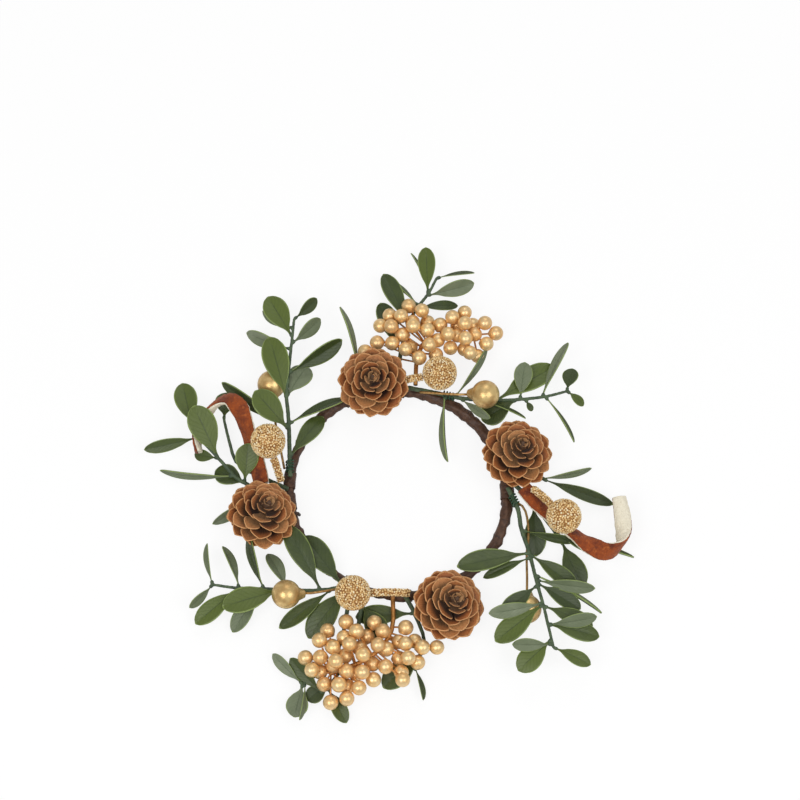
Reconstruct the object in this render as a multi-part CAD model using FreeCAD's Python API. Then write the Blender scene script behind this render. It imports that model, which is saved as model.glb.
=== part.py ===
import FreeCAD, Part
import math
import os

# Candle ring: a wire hoop wound with brown paper tape, that lies flat on a table
# round a candle. Four cones, eight balls on stems, two berry clusters, two
# curls of peel and seven leafy sprays are wired to it.
# Millimetres. The origin is the middle of the hoop on the table, +Z is up,
# +X is to the right and +Y to the back. Angles are in degrees, from +X.

Vector = FreeCAD.Vector

# Hoop and its paper tape
ring_radius = 54.5
hoop_wire_radius = 1.0
tape_radius = 2.3
lap_step = 0.3
flat_depth = 0.5
wire_clearance = 0.05
lap_count = 30
lap_slant = 28.0
oval_share = 0.02
oval_angle = 135.0
thick_share = 0.16
thick_angle = 50.0
level_slant = 0.001
look_angle = 0.5

# Bands of tape over the hoop where a stem is bound on
band_thickness = 0.6
band_length = 9.0
band_clearance = 0.1
band_spacing_share = 1.1

# Gap between a piece and its seat, and the overrun of every cut
seat_gap = 0.2
overrun = 5.0

# Cones
cone_radius = 18.0
cone_height = 24.0
core_radius = 6.5
core_tip_radius = 1.6
scale_thickness = 1.0
bud_radius = 2.6
cone_wire_radius = 0.8
cone_wire_angles = (190.0, 140.0, 90.0)
let_down_count = 3

# Balls with a beaded skin on beaded stems, and smooth balls on wires
beaded_ball_radius = 8.8
beaded_stem_radius = 2.1
smooth_ball_radius = 7.1
neck_length = 2.2
neck_radius = 1.3
neck_start_share = 0.7
neck_root_share = 2.4
ball_wire_radius = 0.6

# Berries and the wires that carry them
berry_radius = 3.8
berry_spacing = 7.0
berry_gap = 0.1
berry_wire_radius = 0.45
berry_stem_radius = 1.1
berry_rise = 3.0
settle_count = 60
route_step_count = 100
route_start_count = 25

# Curled peel: an orange rind over a white pith
peel_width = 9.5
rind_thickness = 1.6
pith_thickness = 2.4
peel_edge = 0.7
end_width_share = 0.45
taper_start_share = 0.18
taper_run_share = 0.80
taper_power_share = 0.25
peel_step_count = 4
peel_rise = 20.0

# Twigs and leaves
twig_radius = 1.2
twig_tip_radius = 0.7
tube_step_count = 3
spray_rise = 20.0
leaf_length = 30.0
leaf_width = 11.0
leaf_thickness = 0.8
leaf_edge = 0.3
leaf_bend = 16.0
cup_share = 0.16

# Green wire wound round the feet of some twigs
tie_wire_radius = 0.4
tie_turn_count = 4
tie_pitch = 1.5

# Leaf outline: place along the leaf and half width there
leaf_outline_shares = (
    (0.0, 0.10),
    (0.14, 0.16),
    (0.30, 0.60),
    (0.50, 0.93),
    (0.68, 1.0),
    (0.84, 0.82),
    (0.95, 0.45),
    (1.0, 0.14),
)

# Rings of scales on a cone, from the lowest: radius, height of the rim,
# height of the root, number of scales
cone_ring_shares = (
    (0.78, 0.20, 0.05, 8),
    (0.96, 0.33, 0.13, 9),
    (1.0, 0.47, 0.22, 9),
    (0.87, 0.60, 0.31, 8),
    (0.71, 0.72, 0.40, 8),
    (0.54, 0.82, 0.50, 7),
    (0.37, 0.90, 0.60, 5),
    (0.21, 0.96, 0.70, 4),
)
lobe_depth_share = 0.13

# Cones: place of the foot, how far it hangs below the seat, heading and
# angle of its lean, turn about its own axis
cone_shares = {
    "upper_left": (-0.232, 1.018, 0.0, -90.0, 12.0, 0.0),
    "right": (1.064, 0.290, 0.0, 0.0, 9.0, 17.0),
    "bottom": (0.412, -1.130, 0.14, -15.0, 16.0, 41.0),
    "left": (-1.265, -0.305, 0.08, 15.0, 16.0, 63.0),
}

# Beaded balls: place and height of the centre, then the foot of the stem
beaded_ball_shares = {
    "top": ((0.383, 1.078, 0.46), (0.02, 1.03, 0.10)),
    "left": ((-1.186, 0.375, 0.72), (-1.07, 0.06, 0.06)),
    "bottom": ((-0.405, -1.06, 0.62), (0.10, -1.01, 0.08)),
    "right": ((1.487, -0.37, 0.83), (1.23, -0.04, 0.22)),
}

# Smooth balls: place and height of the centre, then points along the wire
smooth_ball_shares = {
    "upper_left": ((-1.175, 1.018, 0.14), ((-1.14, 0.68, 0.04), (-1.045, 0.20, 0.0))),
    "upper_right": ((0.80, 0.842, 0.62), ((0.56, 0.865, 0.42), (0.20, 0.93, 0.14))),
    "lower_left": ((-1.0, -1.068, 0.60), ((-0.76, -1.04, 0.42), (-0.48, -0.96, 0.14))),
    "lower_right": ((1.153, -1.155, 0.11), (
        (1.163, -0.85, 0.0), (1.165, -0.62, -0.06), (1.185, -0.40, -0.06), (1.15, -0.18, -0.08),
        (1.02, -0.10, 0.0),
    )),
}

# Berries: place in a cluster, in spacings from its middle
top_berry_shares = (
    (-1.36, 1.98, 0.25), (-0.43, 1.26, 0.6), (-2.75, 1.18, 0.3), (-1.79, 0.81, 0.9),
    (2.71, 1.33, 0.4), (1.79, 0.77, 0.8), (-2.57, -0.10, 0.9), (-1.07, 0.02, 1.0),
    (0.0, -0.22, 0.8), (0.86, 0.50, 0.3), (2.71, 0.06, 1.1), (3.40, 0.45, 0.1),
    (3.95, 0.15, 0.6), (3.43, -0.35, 0.6), (4.64, -0.40, 0.4), (1.50, -0.60, 0.9),
    (2.20, -0.35, 0.45), (2.93, -0.75, 0.8), (0.14, -1.43, 1.0), (0.79, -0.75, 0.4),
    (-3.57, -1.10, 0.6), (-2.57, -1.10, 0.7), (-1.64, -1.65, 0.8), (-0.61, -2.35, 0.8),
    (-4.50, -1.60, 0.2), (1.86, -1.30, 0.2), (3.04, -1.80, 0.8), (4.14, -0.95, 0.3),
    (-1.90, -0.45, 0.55), (-1.35, -1.00, 0.0), (0.05, 0.85, 0.0), (-1.10, 0.75, 0.45),
    (2.20, 0.45, 0.0), (0.60, -1.75, 0.1), (3.75, -1.55, 0.1), (2.50, -1.25, 0.0),
    (-3.30, 0.30, 0.5),
)
bottom_berry_shares = (
    (-1.43, 2.06, 0.6), (-0.68, 1.38, 1.0), (0.43, 1.98, 0.2), (1.14, 1.45, 0.8),
    (2.71, 1.64, 0.3), (-2.50, 1.48, 0.1), (-1.79, 1.18, 0.3), (-3.21, 0.77, 0.8),
    (0.07, 1.37, 0.0), (-1.14, 0.37, 1.3), (0.86, 0.32, 1.2), (2.71, 0.51, 0.9),
    (3.93, 0.28, 0.8), (4.86, 0.39, 0.4), (-2.21, 0.17, 0.8), (-4.21, -0.33, 0.3),
    (-3.11, -0.48, 0.7), (-2.07, -0.93, 1.5), (-0.21, -0.40, 1.3), (1.64, 0.20, 0.3),
    (2.93, -0.59, 1.0), (3.50, -0.64, 0.3), (-3.71, -1.39, 0.9), (-2.21, -1.10, 0.5),
    (-1.50, -1.36, 0.7), (0.57, -0.91, 0.2), (1.29, -1.06, 0.6), (2.36, -1.25, 0.5),
    (2.50, -1.96, 1.0), (-0.29, -1.62, 1.0), (-2.93, -2.09, 0.3), (-1.79, -2.53, 0.9),
    (-0.50, -2.53, 0.7), (-1.36, -3.15, 0.5), (-2.43, -3.52, 0.3),
    (-0.35, 0.60, 0.1), (2.30, 0.95, 0.1), (-1.60, -0.15, 0.4), (-0.85, -1.50, 0.0),
    (-3.00, -1.25, 0.2), (-1.20, -2.20, 0.0), (2.15, -0.45, 0.25), (3.30, 1.00, 0.1),
    (0.50, -1.70, 0.1), (-2.30, 0.85, 0.0),
)

# Clusters: place of the middle, then points along the stem under the berries
berry_cluster_shares = {
    "top": (
        (0.273, 1.539),
        top_berry_shares,
        ((0.16, 1.02, 0.0), (0.18, 1.30, -0.02), (0.30, 1.50, -0.02), (0.70, 1.53, -0.02)),
    ),
    "bottom": (
        (-0.285, -1.58),
        bottom_berry_shares,
        ((-0.05, -1.0, 0.0), (-0.06, -1.35, 0.02), (-0.25, -1.6, 0.04), (-0.6, -1.75, 0.04)),
    ),
}

# Peel: place, height and roll of the strip at points along it
peel_shares = {
    "left": (
        (-1.25, 0.04, -0.02, -30.0),
        (-1.28, 0.18, 0.0, -35.0),
        (-1.33, 0.36, 0.06, -42.0),
        (-1.39, 0.56, 0.22, -50.0),
        (-1.46, 0.73, 0.38, -35.0),
        (-1.57, 0.81, 0.46, 20.0),
        (-1.69, 0.76, 0.40, 70.0),
        (-1.79, 0.62, 0.24, 110.0),
        (-1.85, 0.47, 0.10, 120.0),
        (-1.84, 0.34, 0.06, 90.0),
    ),
    "right": (
        (1.14, -0.02, 0.12, -20.0),
        (1.25, -0.15, 0.10, -20.0),
        (1.40, -0.31, 0.10, -38.0),
        (1.58, -0.46, 0.14, -48.0),
        (1.72, -0.58, 0.24, -35.0),
        (1.88, -0.65, 0.28, 10.0),
        (2.01, -0.58, 0.22, 70.0),
        (2.04, -0.44, 0.14, 140.0),
        (2.03, -0.28, 0.16, 178.0),
        (2.005, -0.12, 0.24, 182.0),
    ),
}

# Sprays. A twig is a row of places and heights. A leaf has the number of its
# twig, its place along it, heading, lift, roll, and its length and width.
spray_shares = {
    "upper_left": (
        (
            ((-0.99, 0.11, 0.0), (-1.01, 0.66, 0.1), (-1.03, 0.885, 0.25), (-0.99, 1.345, 0.45),
             (-0.966, 1.595, 0.55)),
        ),
        (
            (0, 1.0, 40.0, 5.0, -45.0, 0.50, 0.60),
            (0, 0.875, 121.0, 12.0, 0.0, 0.79, 1.12),
            (0, 0.93, 150.0, -12.0, 60.0, 0.66, 0.55),
            (0, 0.84, 38.0, 5.0, -50.0, 0.62, 0.75),
            (0, 0.50, 106.0, 18.0, 0.0, 1.06, 1.20),
            (0, 0.80, 158.0, -11.0, 52.0, 0.86, 0.72),
            (0, 0.66, 27.0, 8.0, -48.0, 1.03, 0.82),
            (0, 0.51, 61.0, -4.0, 0.0, 0.68, 1.10),
            (0, 0.285, 133.0, 24.0, 0.0, 0.82, 1.18),
            (0, 0.33, 30.0, 6.0, 40.0, 1.0, 0.76),
            (0, 0.12, 54.0, 5.0, 0.0, 0.88, 0.86),
            (0, 0.31, 150.0, 2.0, 50.0, 1.36, 0.62),
        ),
    ),
    "left": (
        (
            ((-1.03, -0.10, 0.0), (-1.25, 0.0, -0.15), (-1.47, 0.105, -0.06), (-1.59, 0.22, 0.08),
             (-1.70, 0.335, 0.18), (-1.81, 0.45, 0.22), (-1.89, 0.57, 0.24)),
            ((-1.01, 0.0, 0.0), (-1.26, 0.14, -0.17), (-1.48, 0.27, -0.16), (-1.56, 0.48, -0.08),
             (-1.61, 0.68, 0.02)),
        ),
        (
            (0, 0.665, 117.0, 32.0, 0.0, 0.92, 1.28),
            (0, 1.0, 104.0, 8.0, 0.0, 0.78, 1.05),
            (0, 0.90, 196.0, 2.0, 30.0, 0.90, 0.60),
            (0, 0.66, 166.0, -10.0, 20.0, 0.42, 0.55),
            (1, 1.0, 88.0, 0.0, 0.0, 0.48, 0.95),
            (0, 0.47, 182.0, -3.0, 65.0, 1.22, 0.40),
            (0, 0.34, 152.0, 1.0, 0.0, 0.58, 1.0),
            (0, 0.37, 83.0, 36.0, 0.0, 0.62, 1.06),
            (0, 0.17, 214.0, 3.0, 30.0, 0.99, 0.50),
        ),
    ),
    "lower_left": (
        (
            ((-0.44, -0.925, 0.0), (-0.718, -0.974, 0.0), (-1.177, -0.968, 0.08),
             (-1.47, -0.965, 0.16), (-1.668, -0.94, 0.2)),
        ),
        (
            (0, 1.0, 106.0, 10.0, 60.0, 0.66, 0.45),
            (0, 0.80, 105.0, 8.0, -55.0, 0.72, 0.65),
            (0, 0.62, 115.0, 12.0, 60.0, 0.90, 0.68),
            (0, 0.45, 114.0, -3.0, -25.0, 0.72, 0.72),
            (0, 0.215, 118.0, 17.0, 0.0, 1.18, 1.02),
            (0, 0.05, 127.0, 8.0, 0.0, 1.05, 1.12),
            (0, 1.0, 232.0, 0.0, 55.0, 0.50, 0.50),
            (0, 0.80, 219.0, 0.0, 0.0, 0.88, 0.90),
            (0, 0.49, 199.0, 15.0, 0.0, 0.97, 1.15),
            (0, 0.64, 236.0, -5.0, 0.0, 0.80, 0.78),
            (0, 0.14, 219.0, 3.0, 15.0, 1.02, 0.72),
            (0, 0.01, 232.0, -1.0, 0.0, 1.02, 1.16),
        ),
    ),
    "bottom": (
        (
            ((-0.424, -0.925, 0.0), (-0.461, -1.166, -0.1), (-0.534, -1.508, -0.12),
             (-0.69, -1.72, -0.1), (-0.85, -1.84, -0.05)),
            ((-0.33, -0.95, 0.0), (-0.35, -1.25, -0.1), (-0.46, -1.62, -0.12), (-0.67, -1.92, -0.06)),
            ((0.04, -0.985, 0.0), (0.15, -1.186, -0.1), (0.236, -1.459, -0.12),
             (0.144, -1.673, -0.12)),
        ),
        (
            (1, 0.14, 304.0, 1.0, 0.0, 0.62, 1.0),
            (0, 1.0, 138.0, 4.0, 35.0, 0.68, 0.55),
            (1, 1.0, 138.0, 12.0, 35.0, 0.74, 0.72),
            (0, 1.0, 256.0, 4.0, 0.0, 0.52, 0.98),
            (0, 0.98, 273.0, 14.0, 65.0, 0.62, 0.35),
            (1, 0.94, 299.0, 4.0, 0.0, 0.62, 0.70),
            (1, 0.90, 214.0, 0.0, 0.0, 0.42, 0.80),
            (2, 0.30, 182.0, 2.0, 0.0, 0.92, 0.95),
            (2, 0.80, 222.0, 2.0, 0.0, 0.82, 1.06),
            (2, 1.0, 291.0, 4.0, 55.0, 0.54, 0.42),
        ),
    ),
    "top": (
        (
            ((-0.02, 1.0, 0.0), (0.034, 1.406, 0.0), (0.132, 1.72, 0.02), (0.22, 1.85, 0.08),
             (0.284, 1.93, 0.12), (0.36, 2.075, 0.2)),
            ((-0.42, 0.92, 0.0), (-0.37, 1.13, 0.04)),
        ),
        (
            (0, 0.54, 115.0, 10.0, 0.0, 0.98, 0.86),
            (0, 0.72, 128.0, -6.0, -55.0, 0.78, 0.50),
            (0, 0.30, 110.0, 2.0, 0.0, 0.98, 0.90),
            (0, 0.85, 92.0, 10.0, 0.0, 0.84, 0.82),
            (0, 0.87, 104.0, -6.0, -60.0, 0.84, 0.35),
            (0, 1.0, 14.0, 6.0, 45.0, 0.62, 0.45),
            (0, 0.84, 12.0, 6.0, -35.0, 0.80, 0.75),
            (0, 0.70, 8.0, -2.0, 0.0, 0.68, 0.50),
            (1, 1.0, 97.0, 10.0, -52.0, 1.20, 0.40),
        ),
    ),
    "upper_right": (
        (
            ((0.09, 0.985, 0.0), (0.383, 0.925, 0.0), (0.612, 0.872, 0.02), (0.979, 0.85, 0.06),
             (1.346, 0.872, 0.14), (1.557, 0.918, 0.22)),
        ),
        (
            (0, 0.56, 32.0, 8.0, 0.0, 1.12, 1.12),
            (0, 0.70, 82.0, 22.0, 0.0, 0.60, 0.85),
            (0, 0.73, 300.0, -4.0, 0.0, 0.20, 0.30),
            (0, 0.84, 70.0, 10.0, 45.0, 1.02, 0.58),
            (0, 1.0, 78.0, 10.0, 15.0, 0.38, 0.75),
            (0, 1.0, 322.0, 0.0, 25.0, 0.34, 0.55),
            (0, 0.86, 306.0, 4.0, 60.0, 0.90, 0.40),
            (0, 0.68, 208.0, -9.0, 0.0, 0.64, 1.15),
            (0, 0.34, 313.0, 20.0, -50.0, 0.62, 0.45),
            (0, 0.45, 342.0, 7.0, 50.0, 0.82, 0.35),
            (0, 0.235, 264.0, 6.0, -60.0, 1.16, 0.38),
            (0, 0.30, 50.0, 8.0, -55.0, 1.02, 0.36),
        ),
    ),
    "lower_right": (
        (
            ((1.0, 0.0, 0.0), (1.089, -0.204, 0.0), (1.117, -0.405, 0.03), (1.181, -0.635, 0.14),
             (1.24, -0.925, 0.26), (1.30, -1.18, 0.34), (1.34, -1.385, 0.38),
             (1.375, -1.56, 0.42)),
            ((1.03, 0.07, 0.0), (1.209, -0.10, -0.1), (1.346, -0.288, -0.14),
             (1.484, -0.493, -0.14)),
            ((1.043, 0.14, 0.0), (1.209, 0.122, -0.1), (1.328, 0.102, -0.1)),
        ),
        (
            (0, 0.42, 191.0, 8.0, 0.0, 1.16, 0.98),
            (0, 0.45, 200.0, -5.0, 0.0, 0.80, 0.50),
            (0, 0.43, 325.0, 2.0, 0.0, 0.90, 0.78),
            (0, 0.59, 346.0, 8.0, -40.0, 0.92, 0.62),
            (0, 0.61, 331.0, -2.0, 0.0, 0.78, 0.78),
            (0, 0.56, 339.0, -7.0, 60.0, 1.20, 0.32),
            (0, 0.75, 339.0, 2.0, 0.0, 0.82, 0.78),
            (0, 0.86, 3.0, 12.0, -35.0, 0.76, 0.66),
            (0, 0.86, 349.0, 0.0, 0.0, 0.82, 0.84),
            (0, 0.62, 220.0, 7.0, 0.0, 0.74, 0.80),
            (0, 0.73, 198.0, 12.0, 35.0, 0.86, 0.70),
            (0, 0.74, 217.0, -1.0, 0.0, 0.94, 1.05),
            (0, 0.98, 186.0, 12.0, 35.0, 0.62, 0.62),
            (0, 0.95, 223.0, 0.0, 0.0, 0.70, 1.05),
            (0, 1.0, 336.0, 2.0, 0.0, 0.62, 0.66),
            (0, 0.27, 345.0, -2.0, -45.0, 0.92, 0.45),
            (2, 1.0, 338.0, 2.5, -20.0, 1.20, 0.60),
            (2, 0.90, 6.0, 0.0, -55.0, 0.86, 0.35),
            (1, 1.0, 293.0, 1.0, 0.0, 0.82, 1.05),
            (1, 0.88, 338.0, 8.0, 0.0, 0.72, 0.68),
            (1, 1.0, 354.0, 1.0, 50.0, 1.18, 0.38),
            (1, 0.40, 272.0, -1.0, 0.0, 0.84, 1.0),
        ),
    ),
}

# Twigs that carry a green wire tie: spray, number of the twig, start of the tie
tie_shares = (
    ("upper_left", 0, 0.03),
    ("upper_right", 0, 0.22),
    ("lower_right", 0, 0.05),
)


def turned(angle):
    """Unit vector in the table plane at an angle."""
    return Vector(math.cos(math.radians(angle)), math.sin(math.radians(angle)), 0)


def tape_radius_at(angle):
    """Radius of the taped hoop, a little thicker on one side."""
    return tape_radius * (1 + thick_share * math.cos(math.radians(angle - thick_angle)))


def seat_height_at(angle):
    """Height of the seat on top of the bands, where stems are bound on."""
    band_top = 2 * tape_radius_at(angle) + lap_step - flat_depth + band_clearance + band_thickness
    return band_top + seat_gap


def place(x_share, y_share, rise_share, rise=spray_rise, foot=0):
    """Point over the plan, its height counted from the seat on the nearest hoop."""
    point = Vector(x_share * ring_radius, y_share * ring_radius, 0)
    point.z = seat_height_at(hoop_angle(point)) + foot + rise_share * rise
    return point


def hoop_point(angle):
    """Point on the middle line of the slightly oval hoop."""
    oval = 1 + oval_share * math.cos(math.radians(2 * (angle - oval_angle)))
    point = turned(angle) * (ring_radius * oval)
    point.z = tape_radius_at(angle) - flat_depth
    return point


def hoop_direction(angle):
    return (hoop_point(angle + look_angle) - hoop_point(angle - look_angle)).normalize()


def hoop_angle(point):
    return math.degrees(math.atan2(point.y, point.x))


def round_section(middle, direction, radius, reference=Vector(0, 0, 1)):
    """Circle square to a direction, from two arcs that start at its side."""
    side = direction.cross(reference).normalize() * radius
    top = side.cross(direction).normalize() * radius
    first = Part.Arc(middle + side, middle + top, middle - side).toShape()
    second = Part.Arc(middle - side, middle - top, middle + side).toShape()
    return Part.Wire([first, second])


def hoop_section(angle, radius, slant):
    """Section of the hoop, turned about the vertical by the slant of a lap."""
    direction = hoop_direction(angle)
    side = direction.cross(Vector(0, 0, 1)).normalize()
    long_radius = radius / math.cos(math.radians(slant))
    slanted = side * math.cos(math.radians(slant)) + direction * math.sin(math.radians(slant))
    middle = hoop_point(angle)
    top = middle + Vector(0, 0, radius)
    ellipse = Part.Ellipse(middle + slanted * long_radius, top, middle)
    return Part.Wire([ellipse.toShape()])


def hoop_length(first_angle, last_angle, start_extra, end_extra, slant, steps):
    """Stretch of a taped hoop, its skin rising above the tape radius."""
    sections = []
    for step in range(steps + 1):
        share = step / steps
        angle = first_angle + share * (last_angle - first_angle)
        extra = start_extra + share * (end_extra - start_extra)
        sections.append(hoop_section(angle, tape_radius_at(angle) + extra, slant))
    return Part.makeLoft(sections, True, True)


def wire_hoop(radius):
    """Closed hoop of a constant wire radius."""
    steps = 2 * lap_count
    halves = []
    for half in range(2):
        sections = []
        for step in range(steps // 2 + 1):
            angle = 180.0 * half + 360.0 * step / steps
            sections.append(hoop_section(angle, radius, level_slant))
        halves.append(Part.makeLoft(sections, True, True))
    return halves[0].fuse(halves[1])


def below_table():
    """Block that cuts off what would lie under the table."""
    reach = 4 * ring_radius
    block = Part.makeBox(2 * reach, 2 * reach, overrun + tape_radius)
    block.translate(Vector(-reach, -reach, -overrun - tape_radius))
    return block


def make_tape_wrap(bore):
    """Tape wound in overlapping slanted laps, flat where it lies on the table."""
    lap_angle = 360.0 / lap_count
    laps = []
    for lap in range(lap_count):
        start = lap * lap_angle
        laps.append(hoop_length(start, start + lap_angle, lap_step, 0, lap_slant, 2))
    wrap = laps[0].multiFuse(laps[1:])
    return wrap.cut(bore).cut(below_table())


def make_band(angle):
    """Short open band of tape over the hoop."""
    half_angle = math.degrees(band_length / 2 / ring_radius)
    inner_extra = lap_step + band_clearance
    outer_extra = inner_extra + band_thickness
    outer = hoop_length(
        angle - half_angle, angle + half_angle, outer_extra, outer_extra, level_slant, 2)
    inner = hoop_length(
        angle - 2 * half_angle, angle + 2 * half_angle, inner_extra, inner_extra, level_slant, 4)
    return outer.cut(inner).cut(below_table())


def curve_point(points, share):
    """Point and direction on a smooth curve through points, by share of its length."""
    lengths = [(b - a).Length for a, b in zip(points, points[1:])]
    target = share * sum(lengths)
    span = 0
    while span < len(lengths) - 1 and target > lengths[span]:
        target = target - lengths[span]
        span = span + 1
    t = min(1.0, target / lengths[span])
    b = points[span]
    c = points[span + 1]
    a = points[span - 1] if span > 0 else b * 2 - c
    d = points[span + 2] if span + 2 < len(points) else c * 2 - b
    point = (
        b * 2 + (c - a) * t + (a * 2 - b * 5 + c * 4 - d) * t ** 2
        + (b * 3 - a - c * 3 + d) * t ** 3) * 0.5
    direction = (
        (c - a) + (a * 2 - b * 5 + c * 4 - d) * (2 * t)
        + (b * 3 - a - c * 3 + d) * (3 * t ** 2))
    return point, direction.normalize()


def make_tube(points, start_radius, end_radius, reference=Vector(0, 0, 1)):
    """Round tube along a smooth curve, tapering from start to end."""
    steps = tube_step_count * (len(points) - 1)
    sections = []
    for step in range(steps + 1):
        share = step / steps
        point, direction = curve_point(points, share)
        radius = start_radius + share * (end_radius - start_radius)
        sections.append(round_section(point, direction, radius, reference))
    return Part.makeLoft(sections, True, True)


def scale_ring(radius, rim_height, root_height, count):
    """One ring of a cone: a shallow cup whose rim is cut into round scales."""
    profile = Part.makePolygon([
        Vector(0, 0, root_height),
        Vector(radius, 0, rim_height - scale_thickness),
        Vector(radius, 0, rim_height),
        Vector(0, 0, root_height + scale_thickness),
        Vector(0, 0, root_height),
    ])
    cup = Part.Face(profile).revolve(Vector(0, 0, 0), Vector(0, 0, 1), 360)
    notch_radius = radius * (1 - lobe_depth_share)
    edges = []
    for lobe in range(count):
        start = 360.0 * lobe / count
        middle = start + 180.0 / count
        end = start + 360.0 / count
        arc = Part.Arc(turned(start) * notch_radius, turned(middle) * radius, turned(end) * notch_radius)
        edges.append(arc.toShape())
    outline = Part.Face(Part.Wire(edges))
    outline.translate(Vector(0, 0, -overrun))
    return cup.common(outline.extrude(Vector(0, 0, cone_height + 2 * overrun)))


def make_cone():
    """Cone standing on its foot: a core with stacked rings of scales and a bud."""
    pieces = []
    for number, (radius, rim, root, count) in enumerate(cone_ring_shares):
        ring = scale_ring(radius * cone_radius, rim * cone_height, root * cone_height, count)
        ring.rotate(Vector(0, 0, 0), Vector(0, 0, 1), number * 180.0 / count)
        pieces.append(ring)
    bud_middle = cone_height - bud_radius
    pieces.append(Part.makeSphere(bud_radius, Vector(0, 0, bud_middle)))
    core = Part.makeCone(core_radius, core_tip_radius, bud_middle)
    return core.multiFuse(pieces)


def skin_reach(angle):
    """Distance from the hoop's middle line to a cone wire laid over the tape."""
    return tape_radius_at(angle) + lap_step + seat_gap + cone_wire_radius


def cone_seat(name):
    """Point on top of the wire under a cone's foot, and the angle of that wire."""
    x_share, y_share, drop_share, heading, lean, turn = cone_shares[name]
    seat = place(x_share, y_share, 0)
    angle = hoop_angle(seat)
    seat.z = hoop_point(angle).z + skin_reach(angle) + cone_wire_radius
    seat.z = seat.z - drop_share * cone_height
    return seat, angle


def stand_cone(cone, name, wire):
    """Copy of the cone, turned, leant and let down until its foot nears the wire."""
    x_share, y_share, drop_share, heading, lean, turn = cone_shares[name]
    foot = cone_seat(name)[0]
    foot.z = foot.z + 2 * core_radius * math.sin(math.radians(lean))
    disc = Part.makeCylinder(core_radius, scale_thickness)
    disc.rotate(Vector(0, 0, 0), turned(heading + 90), lean)
    disc.translate(foot)
    for step in range(let_down_count):
        down = Vector(0, 0, seat_gap - disc.distToShape(wire)[0])
        disc.translate(down)
        foot = foot + down
    standing = cone.copy()
    standing.rotate(Vector(0, 0, 0), Vector(0, 0, 1), turn)
    standing.rotate(Vector(0, 0, 0), turned(heading + 90), lean)
    standing.translate(foot)
    return standing


def make_cone_wire(name):
    """Wire bent over the taped hoop and out under the foot of a cone."""
    seat, angle = cone_seat(name)
    middle = hoop_point(angle)
    reach = skin_reach(angle)
    points = []
    for bend in cone_wire_angles:
        side = turned(angle) * math.cos(math.radians(bend))
        points.append(middle + (side + Vector(0, 0, math.sin(math.radians(bend)))) * reach)
    if cone_shares[name][2] > 0:
        points.append(seat - Vector(0, 0, cone_wire_radius))
    else:
        points.append(middle + (turned(angle) + Vector(0, 0, 1)) * (reach / math.sqrt(2)))
        points.append(middle + turned(angle) * reach)
    return make_tube(points, cone_wire_radius, cone_wire_radius, turned(angle + 90))


def make_beaded_stem(centre, foot):
    """Beaded stem from its foot on the hoop to the skin of its ball."""
    direction = (centre - foot).normalize()
    end = centre - direction * (beaded_ball_radius + seat_gap)
    middle = (foot + end) * 0.5 + Vector(0, 0, beaded_stem_radius / 2)
    return make_tube([foot, middle, end], beaded_stem_radius, beaded_stem_radius)


def neck_direction(centre, points):
    return (points[0] - centre).normalize()


def make_smooth_ball(centre, points):
    """Smooth ball with a short neck towards its wire."""
    ball = Part.makeSphere(smooth_ball_radius, centre)
    direction = neck_direction(centre, points)
    start = centre + direction * (smooth_ball_radius * neck_start_share)
    length = smooth_ball_radius * (1 - neck_start_share) + neck_length
    neck = Part.makeCone(neck_root_share * neck_radius, neck_radius, length, start, direction)
    return ball.fuse(neck)


def make_ball_wire(centre, points):
    """Wire from the neck of a smooth ball to the hoop."""
    direction = neck_direction(centre, points)
    start = centre + direction * (smooth_ball_radius + neck_length + seat_gap)
    return make_tube([start] + points, ball_wire_radius, ball_wire_radius)


def settle_berries(middle, shares):
    """Centres of a cluster's berries, moved apart until none overlap."""
    spacing = 2 * berry_radius + berry_gap
    centres = [middle + Vector(x, y, z) * berry_spacing for x, y, z in shares]
    for sweep in range(settle_count):
        for first in range(len(centres)):
            for second in range(first):
                apart = centres[first] - centres[second]
                if apart.Length < spacing:
                    lack = spacing - apart.Length
                    push = apart.normalize() * (lack / 2)
                    centres[first] = centres[first] + push
                    centres[second] = centres[second] - push
    return centres


def cluster_layout(name):
    """Centres of the berries and the route of the stem under them."""
    middle_shares, shares, stem_shares = berry_cluster_shares[name]
    middle = place(*middle_shares, 0, foot=berry_rise)
    centres = settle_berries(middle, shares)
    route = [place(x, y, z, foot=berry_stem_radius) for x, y, z in stem_shares]
    return centres, route


def nearest_on_route(route, target):
    """Point of a stem, past its foot, that lies nearest to a target."""
    best = None
    for step in range(route_start_count, route_step_count + 1):
        point = curve_point(route, step / route_step_count)[0]
        if best is None or (point - target).Length < (best - target).Length:
            best = point
    return best


def make_berry_stems(centres, route):
    """Stem of a cluster with one thin wire to each berry."""
    stem = make_tube(route, berry_stem_radius, berry_stem_radius)
    wires = []
    for centre in centres:
        root = nearest_on_route(route, centre)
        direction = (centre - root).normalize()
        length = (centre - root).Length - berry_radius - berry_gap
        if length > berry_stem_radius:
            wires.append(Part.makeCylinder(berry_wire_radius, length, root, direction))
    return stem.multiFuse(wires)


def peel_frames(name):
    """Points along a peel with the directions across it and out of its rind."""
    rows = peel_shares[name]
    points = [place(x, y, z, rise=peel_rise, foot=pith_thickness) for x, y, z, roll in rows]
    rolls = [row[3] for row in rows]
    frames = []
    steps = peel_step_count * (len(rows) - 1)
    for step in range(steps + 1):
        share = step / steps
        point, direction = curve_point(points, share)
        position = share * (len(rolls) - 1)
        index = min(int(position), len(rolls) - 2)
        roll = rolls[index] + (position - index) * (rolls[index + 1] - rolls[index])
        side = direction.cross(Vector(0, 0, 1)).normalize()
        up = side.cross(direction).normalize()
        turn = math.radians(roll)
        out = up * math.cos(turn) + side * math.sin(turn)
        across = side * math.cos(turn) - up * math.sin(turn)
        frames.append((point, across, out, share))
    return frames


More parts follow.
